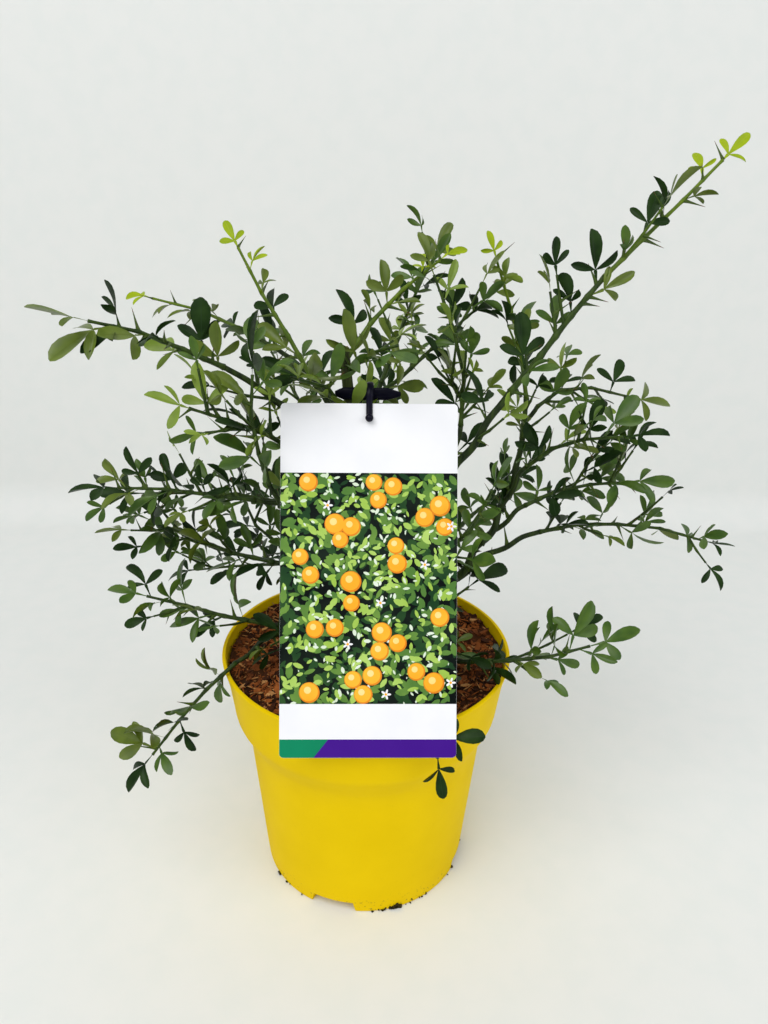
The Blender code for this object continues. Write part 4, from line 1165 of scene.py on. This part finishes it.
@dataclass
class Wood:
    """The trunk and the boughs, with the bark's relief."""

    arcs: dict[str, Arc]
    trunk_sides: int = 28
    bough_sides: int = 12
    ring_step: float = 2.2 * MM

    def relief(self, rings: int, sides: int, depth: float, seed: int) -> Array:
        """Return factors on the radius: ridges along the limb that wander and fade."""
        along = np.arange(rings)[:, None] * 0.12
        around = np.arange(sides)[None, :] * 2 * math.pi / sides
        ridges = np.sin(5 * around + seed + np.sin(along * 0.7)) + 0.6 * np.sin(9 * around - along + seed)
        return 1 + depth * ridges * (0.7 + 0.3 * np.sin(along * 1.7 + seed))

    def wander(self, away: Array, seed: int) -> Array:
        """Return small sideways steps along a bough, none at its ends, for distances from its foot."""
        phase = np.array([0.0, 2.1, 4.2]) + seed
        fade = np.sin(math.pi * away / away[-1])[:, None]
        return BOUGH_WIGGLE * fade * np.sin(math.tau * away[:, None] / BOUGH_WAVE + phase)

    def build_trunk(self) -> None:
        """Build the trunk from under the soil's surface to its cut top."""
        arc = self.arcs["trunk"]
        count = int(arc.length() / self.ring_step)
        shares = np.linspace(-0.012, 1.0, count)
        path = arc.points(shares)
        radii = np.array([arc.radius(share) for share in shares])
        radii *= 1 + FLARE * np.exp(-np.maximum(path[:, 2] - SOIL_LEVEL, 0) / FLARE_HEIGHT)
        target = Surfaces()
        add_tube(target, path, radii, self.trunk_sides, relief=self.relief(count, self.trunk_sides, 0.035, 3))
        trunk = target.piece("trunk_bark", TRUNK_BARK)
        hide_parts("trunk")
        face = Surfaces()
        lid = arc.points(np.array([0.999, 1.003]))
        add_tube(face, lid, np.array([0.86, 0.82]) * TRUNK_TIP_RADIUS, self.trunk_sides)
        face.piece("pruned_face", CUT_WOOD)

    def build_boughs(self) -> None:
        """Build the bare first part of each branch, with a collar where it leaves its parent."""
        target = Surfaces()
        names = []
        for seed, branch in enumerate(BRANCHES):
            if not branch.bare:
                continue
            names.append(branch.name + "_bough")
            arc = self.arcs[branch.name]
            count = max(6, int(arc.length(0.0, branch.bare) / self.ring_step / 1.6))
            shares = np.linspace(0.0, branch.bare, count)
            away = shares * arc.length()
            path = arc.points(shares) + self.wander(away, seed)
            radii = np.array([arc.radius(share) for share in shares])
            radii *= 1 + 0.30 * np.exp(-away / (7 * MM))
            relief = self.relief(count, self.bough_sides, 0.04, seed)
            add_tube(target, path, radii, self.bough_sides, relief=relief)
        # Their bark finish is darkened as painted shade for the crown's shaded inside.
        boughs = target.piece("bough_bark", BOUGH_BARK_PAINTED_SHADE)
        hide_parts(*names)


@dataclass
class Pot:
    """The nursery pot, a turned wall whose foot has drain notches."""

    sides: int = 240

    def profile(self) -> Array:
        """Return the wall's profile of radius and height, from under the foot round to the inside."""
        angles = np.radians(np.linspace(-90, -5, 7))
        foot = FOOT_RADIUS - FOOT_ROUND
        bend = np.stack([foot + FOOT_ROUND * np.cos(angles), FOOT_ROUND + FOOT_ROUND * np.sin(angles)], -1)
        waist = np.linspace(0, 1, 9)[1:-1, None] ** 1.0
        body = (1 - waist) * [BODY_RADIUS, BODY_HEIGHT] + waist * [BODY_TOP_RADIUS, BODY_TOP_HEIGHT]
        flare = np.linspace(0, 1, 6)[1:-1]
        flare_radius = between(BODY_TOP_RADIUS, COLLAR_FOOT_RADIUS, flare) - 0.5 * MM * np.sin(math.pi * flare)
        flare_height = between(BODY_TOP_HEIGHT, COLLAR_FOOT_HEIGHT, flare)
        return np.array([
            (0.0, 0.0), (20 * MM, 0.0), (45 * MM, 0.0), (FOOT_RADIUS - NOTCH_DEPTH - 1 * MM, 0.0),
            (FOOT_RADIUS - NOTCH_DEPTH, 0.0), *bend, (FOOT_RADIUS + 0.3 * MM, 5 * MM),
            (FOOT_RADIUS + 0.8 * MM, NOTCH_HEIGHT), (FOOT_RADIUS + 0.9 * MM, NOTCH_HEIGHT + 0.6 * MM),
            (BODY_RADIUS, BODY_HEIGHT), *body, (BODY_TOP_RADIUS, BODY_TOP_HEIGHT),
            *np.stack([flare_radius, flare_height], -1), (COLLAR_FOOT_RADIUS, COLLAR_FOOT_HEIGHT),
            (between(COLLAR_FOOT_RADIUS, COLLAR_RADIUS, 0.65), between(COLLAR_FOOT_HEIGHT, COLLAR_HEIGHT, 0.5)),
            (COLLAR_RADIUS, COLLAR_HEIGHT), (between(COLLAR_RADIUS, COLLAR_TOP_RADIUS, 0.4), 165 * MM),
            (COLLAR_TOP_RADIUS, COLLAR_TOP_HEIGHT), (between(COLLAR_TOP_RADIUS, RIM_RADIUS, 0.5), 191 * MM),
            (RIM_RADIUS - 0.2 * MM, POT_HEIGHT - 2 * LIP), (RIM_RADIUS, POT_HEIGHT - LIP),
            (RIM_RADIUS - 0.3 * LIP, POT_HEIGHT - 0.3 * LIP), (RIM_RADIUS - LIP, POT_HEIGHT),
            (RIM_RADIUS - LIP - POT_WALL, POT_HEIGHT), (RIM_RADIUS - LIP - 1.3 * POT_WALL, POT_HEIGHT - 0.4 * LIP),
            (RIM_RADIUS - LIP - 1.6 * POT_WALL, POT_HEIGHT - 4 * MM),
            (COLLAR_TOP_RADIUS - POT_WALL, COLLAR_TOP_HEIGHT), (COLLAR_TOP_RADIUS - 3 * POT_WALL, 172 * MM),
            (0.5 * COLLAR_TOP_RADIUS, 171 * MM), (0.5 * MM, 171 * MM),
        ])

    def build(self) -> None:
        """Build the wall: corner = (r cos a, r sin a, h), with h raised in the notches."""
        profile = self.profile()
        half = math.degrees(NOTCH_WIDTH / 2 / FOOT_RADIUS)
        roof = math.degrees(NOTCH_TOP_WIDTH / 2 / FOOT_RADIUS)
        base = np.linspace(0, 360, self.sides, endpoint=False)
        edges = [
            FIRST_NOTCH + 90 * index + way * (between(roof, half, step))
            for index in range(NOTCHES) for way in (-1, 1) for step in (-0.3, 0.0, 0.5, 1.0, 1.3)
        ]
        angles = np.radians(np.unique(np.round(np.concatenate([base, np.array(edges) % 360]), 3)))
        off = np.degrees(np.abs((angles[None] - np.radians(FIRST_NOTCH + 90 * np.arange(4))[:, None] + math.pi)
                                % math.tau - math.pi)).min(0)
        lift = np.clip((half - off) / (half - roof), 0, 1) * NOTCH_HEIGHT
        radius = np.broadcast_to(profile[:, :1], (len(profile), len(angles)))
        height = np.broadcast_to(profile[:, 1:], radius.shape)
        outer = (np.arange(len(profile)) >= 4)[:, None] & (np.arange(len(profile)) < 15)[:, None]
        height = np.where(outer, np.maximum(height, lift[None]), height)
        corners = np.stack([radius * np.cos(angles), radius * np.sin(angles), height], -1)
        corners[..., :2] *= 1 + 0.0006 * waves(corners * [1, 1, 0.4], 0.09, 7)[..., None]
        around, along = np.meshgrid(angles / math.tau, np.linspace(0, 1, len(profile)))
        target = Surfaces()
        target.add(corners, grid(len(profile), len(angles), True), np.stack([around, along], -1))
        pot = target.piece("pot_wall", YELLOW)
        pot.data.set_sharp_from_angle(angle=math.radians(40))
        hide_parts("pot")


@dataclass
class Mix:
    """The potting mix: a rough bed with chips of bark and fibres on it, and crumbs at the foot."""

    chips: int = 6000
    rings: int = 60
    sides: int = 160
    edge: float = RIM_RADIUS - LIP - 2 * POT_WALL - 1.5 * MM

    def level(self, x: Array, y: Array) -> Array:
        """Return the bed's height: flat in the middle, heaped toward the wall, rough all over."""
        heap = np.clip((np.hypot(x, y) - 60 * MM) / (self.edge - 60 * MM), 0, 1) * SOIL_HEAP
        points = np.stack([x, y, 0 * x], -1)
        rough = 1.5 * waves(points, 0.025, 11) + 0.8 * waves(points, 0.009, 12)
        return SOIL_LEVEL + heap + y * 0.02 + rough * MM

    def build_bed(self) -> None:
        """Build the bed from its edge at the wall, a little turned down, in to the middle."""
        radii = np.concatenate([[self.edge, self.edge], np.linspace(self.edge - MM, 0.3 * MM, self.rings)])
        angles = np.linspace(0, math.tau, self.sides, endpoint=False)
        x = radii[:, None] * np.cos(angles)
        y = radii[:, None] * np.sin(angles)
        height = self.level(x, y)
        height[0] = COLLAR_TOP_HEIGHT + 4 * MM
        target = Surfaces()
        target.add(np.stack([x, y, height], -1), grid(len(radii), self.sides, True))
        target.faces.append(np.arange(self.sides)[None] + target.count - self.sides)
        bed = target.piece("soil_bed", EARTH)
        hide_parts("soil")

    def flakes(self, name: str, finish: "Finish", middles: Array, shape: Array, tilt: float, seed: int) -> None:
        """Build flakes: six-sided plates, each turned at will and tilted a little.

        Args:
            name: the piece's name.
            finish: its finish.
            middles: one place for each flake.
            shape: half its length, width and thickness.
            tilt: spread of the tilt.
            seed: seed of the turns.
        """
        draw = np.random.default_rng(seed)
        count = len(middles)
        rim = np.arange(6)
        ring = np.array([(-1, -0.5), (-0.3, -1), (0.8, -0.7), (1, 0.3), (0.2, 1), (-0.8, 0.8)])
        corner = np.concatenate([np.column_stack([ring, np.full(6, way)]) for way in (-1.0, 1.0)])
        sides = np.stack([rim, (rim + 1) % 6, (rim + 1) % 6 + 6, rim + 6], -1)
        lids = np.array([rim[::-1], rim + 6])
        form = corner[None] * shape[:, None] * draw.uniform(0.75, 1.25, (count, 12, 1))
        turn = draw.uniform(0, math.tau, count)
        lean = draw.normal(0, tilt, (count, 2))
        ahead = unit(np.stack([np.cos(turn), np.sin(turn), lean[:, 0]], -1))
        side = unit(np.cross(np.stack([lean[:, 1], 0 * turn, 1 + 0 * turn], -1), ahead))
        corners = middles[:, None] + form @ np.stack([ahead, side, np.cross(ahead, side)], 1)
        target = Surfaces()
        offset = (np.arange(count) * 12)[:, None, None]
        target.add(corners, sides[None] + offset)
        target.faces.append((lids[None] + offset).reshape(-1, 6))
        target.piece(name, finish, smooth=False)

    def build_chips(self) -> None:
        """Build the chips and fibres, lying on the bed."""
        draw = np.random.default_rng(5)
        groups = (
            ("chips_red", CHIP_RED, 0.44, (0.22, 0.7)), ("chips_dark", CHIP_DARK, 0.24, (0.25, 0.8)),
            ("chips_pale", CHIP_PALE, 0.08, (0.2, 0.6)), ("fibres_red", CHIP_RED, 0.16, (0.06, 0.14)),
            ("fibres_pale", CHIP_PALE, 0.08, (0.05, 0.12)),
        )
        for seed, (name, finish, share, slim) in enumerate(groups):
            count = int(self.chips * share)
            radius = (self.edge - 1.5 * MM) * np.sqrt(draw.uniform(0, 1, count))
            angle = draw.uniform(0, math.tau, count)
            x, y = radius * np.cos(angle), radius * np.sin(angle)
            longer = 2.2 if slim[1] < 0.2 else 1.0
            size = np.minimum((draw.gamma(2.2, 1.0, (count, 1)) * 0.7 + 0.6) * MM, 4.4 * MM) * longer
            size = np.minimum(size, (self.edge + MM - radius)[:, None] + 1.5 * MM)
            width = size * draw.uniform(*slim, (count, 1))
            shape = np.concatenate([size, width, np.maximum(width * 0.3, 0.2 * MM)], -1)
            height = self.level(x, y) + shape[:, 2] * draw.uniform(0.2, 2.6, count)
            self.flakes(name, finish, np.stack([x, y, height], -1), shape, 0.4, 40 + seed)

    def build_crumbs(self) -> None:
        """Build crumbs of earth that cling to the pot's foot, most of them at its front right."""
        draw = np.random.default_rng(17)
        spots = ((288, 1.6, 34), (281, 2.5, 8), (303, 7.0, 7), (222, 10.0, 7), (60, 60.0, 16))
        angle = np.radians(np.concatenate([draw.normal(middle, wide, count) for middle, wide, count in spots]))
        height = np.abs(draw.normal(0, 1.5, len(angle))) * MM + 0.4 * MM
        radius = FOOT_RADIUS + 0.4 * MM + height * 0.04
        middles = np.stack([radius * np.cos(angle), radius * np.sin(angle), height], -1)
        size = draw.gamma(1.6, 0.45, (len(angle), 1)) * MM + 0.3 * MM
        shape = size * draw.uniform([0.9, 0.4, 0.2], [1.6, 0.8, 0.6], (len(angle), 3))
        shape[:, 1:] = np.minimum(shape[:, 1:], height[:, None])
        self.flakes("foot_crumbs", CRUMB, middles, shape, 0.3, 60)

    def build(self) -> None:
        """Build the bed, the chips and the crumbs."""
        self.build_bed()
        self.build_chips()
        self.build_crumbs()


@dataclass
class Label:
    """The hang label: card, print and tie."""

    arcs: dict[str, Arc]

    def put(self, points: Array) -> Array:
        """Return points of the card's own frame in the row frame."""
        matrix = np.array(card_matrix())
        return points @ matrix[:3, :3].T + matrix[:3, 3]

    def outline(self, inset: float = 0.0) -> Array:
        """Return the card's outline with round corners, as x and z, in 64 points."""
        angles = np.linspace(0, math.tau, 64, endpoint=False) + math.pi / 64
        ways = np.stack([np.sign(np.cos(angles)), np.sign(np.sin(angles))], -1)
        straight = np.array([CARD_WIDTH / 2 - CARD_CORNER, CARD_LENGTH / 2 - CARD_CORNER])
        quarter = np.mod(angles, math.pi / 2)
        start = np.floor(angles / (math.pi / 2)) * math.pi / 2
        turn = start + quarter
        return ways * straight + np.stack([np.cos(turn), np.sin(turn)], -1) * (CARD_CORNER - inset)

    def build_card(self) -> None:
        """Build the card as rings: hole edge, outer edge, front to back and in again."""
        outer = self.outline()
        angles = np.arctan2(outer[:, 1] - (CARD_LENGTH / 2 - HOLE_DROP), outer[:, 0])
        hole = np.stack([np.cos(angles), np.sin(angles)], -1) * HOLE_RADIUS
        hole[:, 1] += CARD_LENGTH / 2 - HOLE_DROP
        half = CARD_THICK / 2
        rings = [(hole, -half), (outer, -half), (outer, half), (hole, half), (hole, -half)]
        corners = np.array([np.stack([ring[:, 0], np.full(64, y), ring[:, 1]], -1) for ring, y in rings])
        target = Surfaces()
        target.add(self.put(corners), grid(5, 64, True)[..., ::-1])
        card = target.piece("card", WHITE_CARD, smooth=False)
        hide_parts("label_card")

    def add_print(self, name: str, finish: Finish, outlines: Array, layer: float) -> None:
        """Build a layer of ink: flat shapes a little before the card's front.

        Args:
            name: the piece's name.
            finish: the ink.
            outlines: shapes by corners by x and z, counterclockwise seen from the front.
            layer: number of the layer.
        """
        count, corners = outlines.shape[:2]
        step = INK * (layer + np.arange(count)[:, None] / max(count, 2) * 0.8)
        y = -CARD_THICK / 2 - np.broadcast_to(step, (count, corners))
        points = np.stack([outlines[..., 0], y, outlines[..., 1]], -1)
        target = Surfaces()
        target.add(self.put(points), np.arange(count * corners).reshape(count, corners))
        piece = target.piece(name, finish, smooth=False)

    def build_print(self) -> None:
        """Build the print: a dark ground, leaves, fruits and blossoms, and a stripe in two colours."""
        half = CARD_WIDTH / 2 - 0.05 * MM
        bottom, top = -83.5 * MM, 73 * MM
        ground = np.array([[(-half, bottom), (half, bottom), (half, top), (-half, top)]])
        self.add_print("print_ground", PRINT_GROUND, ground, 0.5)
        outline = self.outline(0.05 * MM)
        across, height = outline[:, 0], np.minimum(outline[:, 1], STRIPE_TOP - CARD_LENGTH / 2)
        split = STRIPE_SPLIT + STRIPE_SLANT * (height + CARD_LENGTH / 2) / STRIPE_TOP
        for name, finish, line in (
            ("print_stripe_green", PRINT_GREEN, np.minimum(across, split)),
            ("print_stripe_violet", PRINT_VIOLET, np.maximum(across, split)),
        ):
            self.add_print(name, finish, np.stack([line, height], -1)[None], 0.5)
        draw = np.random.default_rng(21)
        span = (bottom, top)
        for name, finish, count, layer, lengths in (
            ("print_shade", PRINT_SHADE, 420, 1, (6.0, 12.0)), ("print_leaf", PRINT_LEAF, 480, 2, (5.0, 10.0)),
            ("print_light", PRINT_LIGHT, 330, 3, (4.0, 8.5)), ("print_shine", PRINT_SHINE, 300, 4, (1.5, 5.0)),
        ):
            self.add_print(name, finish, self.leaf_shapes(draw, count, lengths, span), layer)
        bunches = np.array([(-44, 58), (8, 62), (46, 44), (-18, 34), (22, 18), (-46, 8), (-8, -8), (44, -18),
                            (-30, -36), (12, -42), (40, -62), (-42, -68), (-4, -70)])
        around = np.radians(draw.uniform(0, 360, (len(bunches), 1)) + [0.0, 125.0, 240.0])[..., None]
        spread = np.concatenate([np.cos(around), np.sin(around)], -1) * draw.uniform(6.5, 9.5, (len(bunches), 3, 1))
        chosen = draw.uniform(0, 1, spread.shape[:2]) < [1.0, 0.75, 0.4]
        centres = (bunches[:, None] + spread)[chosen] * MM
        centres[:, 1] = np.clip(centres[:, 1], bottom + 6.4 * MM, top - 6.4 * MM)
        sizes = draw.uniform(5.5, 7.2, len(centres)) * MM
        petals = (bunches[::2] + [16, -7]) * MM
        petals[:, 0] = np.clip(petals[:, 0], -half + 4 * MM, half - 4 * MM)
        for name, finish, offset, share, layer in (
            ("print_fruit_shade", PRINT_RIND, (0.0, 0.0), 1.0, 5), ("print_fruit", PRINT_FRUIT, (-0.3, 0.4), 0.88, 6),
            ("print_glow", PRINT_GLOW, (-1.2, 1.6), 0.34, 7),
        ):
            self.add_print(name, finish, self.disc_shapes(centres + np.array(offset) * MM, sizes * share), layer)
        self.add_print("print_blossom", WHITE_CARD, self.petal_shapes(petals, 3.6 * MM), 7)
        self.add_print("print_blossom_eye", PRINT_FRUIT, self.disc_shapes(petals, np.full(len(petals), 0.9 * MM)), 8)

    def leaf_shapes(self, draw: np.random.Generator, count: int, lengths: tuple, span: tuple) -> Array:
        """Return outlines of leaves: x = L cos t / 2, z = W sin t |sin t|^0.5 / 2, turned and cut off at the edges."""
        length = draw.uniform(*lengths, (count, 1)) * MM
        width = length * draw.uniform(0.36, 0.6, (count, 1))
        reach = np.array([CARD_WIDTH / 2, (span[1] - span[0]) / 2])
        middle = draw.uniform(-1, 1, (count, 1, 2)) * reach + [0, (span[0] + span[1]) / 2]
        turn = draw.uniform(0, math.tau, (count, 1))
        angle = np.linspace(0, math.tau, 10, endpoint=False)[None]
        x = length / 2 * np.cos(angle)
        z = width / 2 * np.sin(angle) * np.abs(np.sin(angle)) ** 0.5
        turned = [x * np.cos(turn) - z * np.sin(turn), x * np.sin(turn) + z * np.cos(turn)]
        edge = CARD_WIDTH / 2 - 0.1 * MM
        return np.clip(middle + np.stack(turned, -1), [-edge, span[0]], [edge, span[1]])

    def disc_shapes(self, centres: Array, sizes: Array) -> Array:
        """Return outlines of round discs, cut off at the card's edges."""
        angle = np.linspace(0, math.tau, 28, endpoint=False)
        round_line = np.stack([np.cos(angle), np.sin(angle)], -1)
        discs = centres[:, None] + sizes[:, None, None] * round_line
        discs[..., 0] = np.clip(discs[..., 0], 0.1 * MM - CARD_WIDTH / 2, CARD_WIDTH / 2 - 0.1 * MM)
        return discs

    def petal_shapes(self, centres: Array, size: float) -> Array:
        """Return outlines of blossoms: r = size (0.62 + 0.38 cos 5 t)."""
        angle = np.linspace(0, math.tau, 60, endpoint=False)
        radius = size * (0.66 + 0.34 * np.cos(5 * angle))
        return centres[:, None] + np.stack([radius * np.cos(angle), radius * np.sin(angle)], -1)

    def build_tie(self) -> None:
        """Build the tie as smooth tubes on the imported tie's own places."""
        trunk = self.arcs["trunk"]
        middle = np.array(trunk.point(0.88))
        ahead = unit(np.array(TRUNK_TIP - TRUNK_FOOT))
        target = Surfaces()
        inner = trunk.radius(0.88) + 0.3 * MM
        add_tube(target, middle + ahead * np.array([[-2.0], [-1.7], [1.7], [2.0]]) * MM,
                 np.array([inner + 1.2 * MM, inner + 1.6 * MM, inner + 1.6 * MM, inner + 1.2 * MM]), 32)
        start = middle + [0.0, -inner - 1.6 * MM, 0.0]
        shares = np.linspace(0, 1, 16)
        path = start + np.stack([between(-24 * MM, 22 * MM, shares) - start[0], 0 * shares, 0 * shares], -1)
        radii = 4.4 * MM * np.clip(np.minimum(0.4 + 5 * shares, 0.35 + 3.2 * (1 - shares)), 0, 1)
        add_tube(target, path, radii, 16, 0.36, np.array([0.0, 0.0, 1.0]))
        front = CARD_THICK / 2 + 0.3 * MM + 0.77 * MM
        hole = CARD_LENGTH / 2 - HOLE_DROP
        edge = self.put(np.array([0.0, 0.0, CARD_LENGTH / 2]))
        lift = np.array([0.0, 8.25, 11.0, 6.6]) * MM
        along = np.array([0.0, 0.2, 0.6, 0.95])
        start[0] = CARD_MIDDLE.x
        hoop = start + (edge - start) * along[:, None]
        hoop[:, 2] = start[2] + lift
        hang = self.put(np.array([(0.0, -front, CARD_LENGTH / 2), (0.0, -front, hole)]))
        knots = np.concatenate([hoop, hang])
        fine = np.linspace(0, 5, 31)
        path = np.stack([np.interp(fine, np.arange(6), knots[:, axis]) for axis in range(3)], -1)
        soft = np.pad(path, ((2, 2), (0, 0)), mode="edge")
        path = sum(soft[k:k + len(path)] for k in range(5)) / 5
        add_tube(target, path, np.full(len(path), 2.2 * MM), 12, 0.35, np.array([1.0, 0.0, 0.0]))
        add_tube(target, self.put(np.array([(0.0, -front, hole), (0.0, 2 * front, hole)])),
                 np.full(2, 1.8 * MM), 16)
        turn = np.radians(np.linspace(-88, 88, 12))
        knob = np.array([0.0, -CARD_THICK / 2 - 3.1 * MM, hole])
        line = np.stack([0 * turn, knob[1] + 2.8 * MM * np.sin(turn), hole + 0 * turn], -1)
        add_tube(target, self.put(line), 2.8 * MM * np.cos(turn), 20)
        tie = target.piece("tie", BLACK_PLASTIC)
        tie.data.set_sharp_from_angle(angle=math.radians(50))
        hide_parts("label_tie")

    def build(self) -> None:
        """Build the card, its print and the tie."""
        self.build_card()
        self.build_print()
        self.build_tie()


def solid_tree(names: tuple[str, ...]) -> BVHTree:
    """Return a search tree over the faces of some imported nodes."""
    corners: list[Vector] = []
    faces: list[tuple] = []
    for name in names:
        mesh = frame["nodes"][name].data
        start = len(corners)
        corners += [vert.co.copy() for vert in mesh.vertices]
        faces += [tuple(start + index for index in face.vertices) for face in mesh.polygons]
    return BVHTree.FromPolygons(corners, faces)


def card_matrix() -> Matrix:
    """Return the card's matrix."""
    lean = Matrix.Rotation(math.radians(-CARD_LEAN), 4, "X")
    return Matrix.Translation(CARD_MIDDLE) @ lean @ Matrix.Rotation(math.radians(CARD_ROLL), 4, "Y")


FROM_CARD = card_matrix().inverted()


@dataclass
class Studio:
    """Pale floor and wall, soft lights and the camera."""

    floor: float = 3.0
    wall: float = 0.72
    bend: float = 0.06

    def build_sweep(self) -> None:
        """Build the floor that bends up into the wall: a line, a quarter circle and a line."""
        turn = np.radians(np.linspace(0, 90, 12))
        bend_y = self.wall - self.bend + self.bend * np.sin(turn)
        bend_z = self.bend - self.bend * np.cos(turn)
        y = np.concatenate([[-self.floor], bend_y, [self.wall]])
        z = np.concatenate([[0.0], bend_z, [2.5]])
        x = np.array([-self.floor, self.floor])
        corners = np.stack([np.broadcast_to(x, (len(y), 2)), np.broadcast_to(y[:, None], (len(y), 2)),
                            np.broadcast_to(z[:, None], (len(y), 2))], -1)
        target = Surfaces()
        target.add(corners, grid(len(y), 2)[..., ::-1])
        sweep = target.piece("sweep", Finish("sweep_finish", colour(0.80, 0.81, 0.79), colour(0.78, 0.80, 0.78), 0.7))
        sweep.parent = None

    def light(self, name: str, place: tuple, size: float, power: float, tint: tuple) -> None:
        """Add a soft square light that looks at the plant."""
        data = bpy.data.lights.new(name, "AREA")
        data.size = size
        data.energy = power
        data.color = tint
        lamp = bpy.data.objects.new(name, data)
        lamp.location = place
        lamp.rotation_euler = (Vector((0.0, 0.0, 0.25)) - Vector(place)).to_track_quat("-Z", "Y").to_euler()
        bpy.context.scene.collection.objects.link(lamp)

    def build(self) -> None:
        """Build the sweep, the lights, the world and the camera."""
        self.build_sweep()
        self.light("key", (-1.0, -1.6, 2.6), 2.2, 61.0, (1.0, 0.995, 0.985))
        self.light("fill", (1.7, -1.3, 1.5), 1.6, 17.0, (0.98, 0.99, 1.0))
        world = bpy.data.worlds.new("room")
        world.use_nodes = True
        world.node_tree.nodes["Background"].inputs["Color"].default_value = (0.95, 0.97, 1.0, 1.0)
        world.node_tree.nodes["Background"].inputs["Strength"].default_value = 0.36
        bpy.context.scene.world = world
        bpy.context.scene.view_settings.view_transform = "Standard"
        data = bpy.data.cameras.new("camera")
        data.sensor_width = SENSOR_LONG_SIDE
        data.lens = CAMERA_LENS
        camera = bpy.data.objects.new("camera", data)
        camera.matrix_world = (
            Matrix.Translation(CAMERA_PLACE) @ Matrix.Rotation(math.radians(-CAMERA_YAW), 4, "Z")
            @ Matrix.Rotation(math.radians(90 - CAMERA_PITCH), 4, "X")
            @ Matrix.Rotation(math.radians(CAMERA_ROLL), 4, "Z")
        )
        bpy.context.scene.collection.objects.link(camera)
        bpy.context.scene.camera = camera


def main() -> None:
    """Build every piece in order."""
    logging.basicConfig(level=logging.INFO, format="%(message)s")
    arcs = branch_arcs()
    Studio().build()
    Pot().build()
    Mix().build()
    Wood(arcs).build_trunk()
    Wood(arcs).build_boughs()
    Foliage(arcs).build(solid_tree(("pot", "soil", "label_card", "label_tie")))
    Label(arcs).build()


if __name__ == "__main__":
    main()
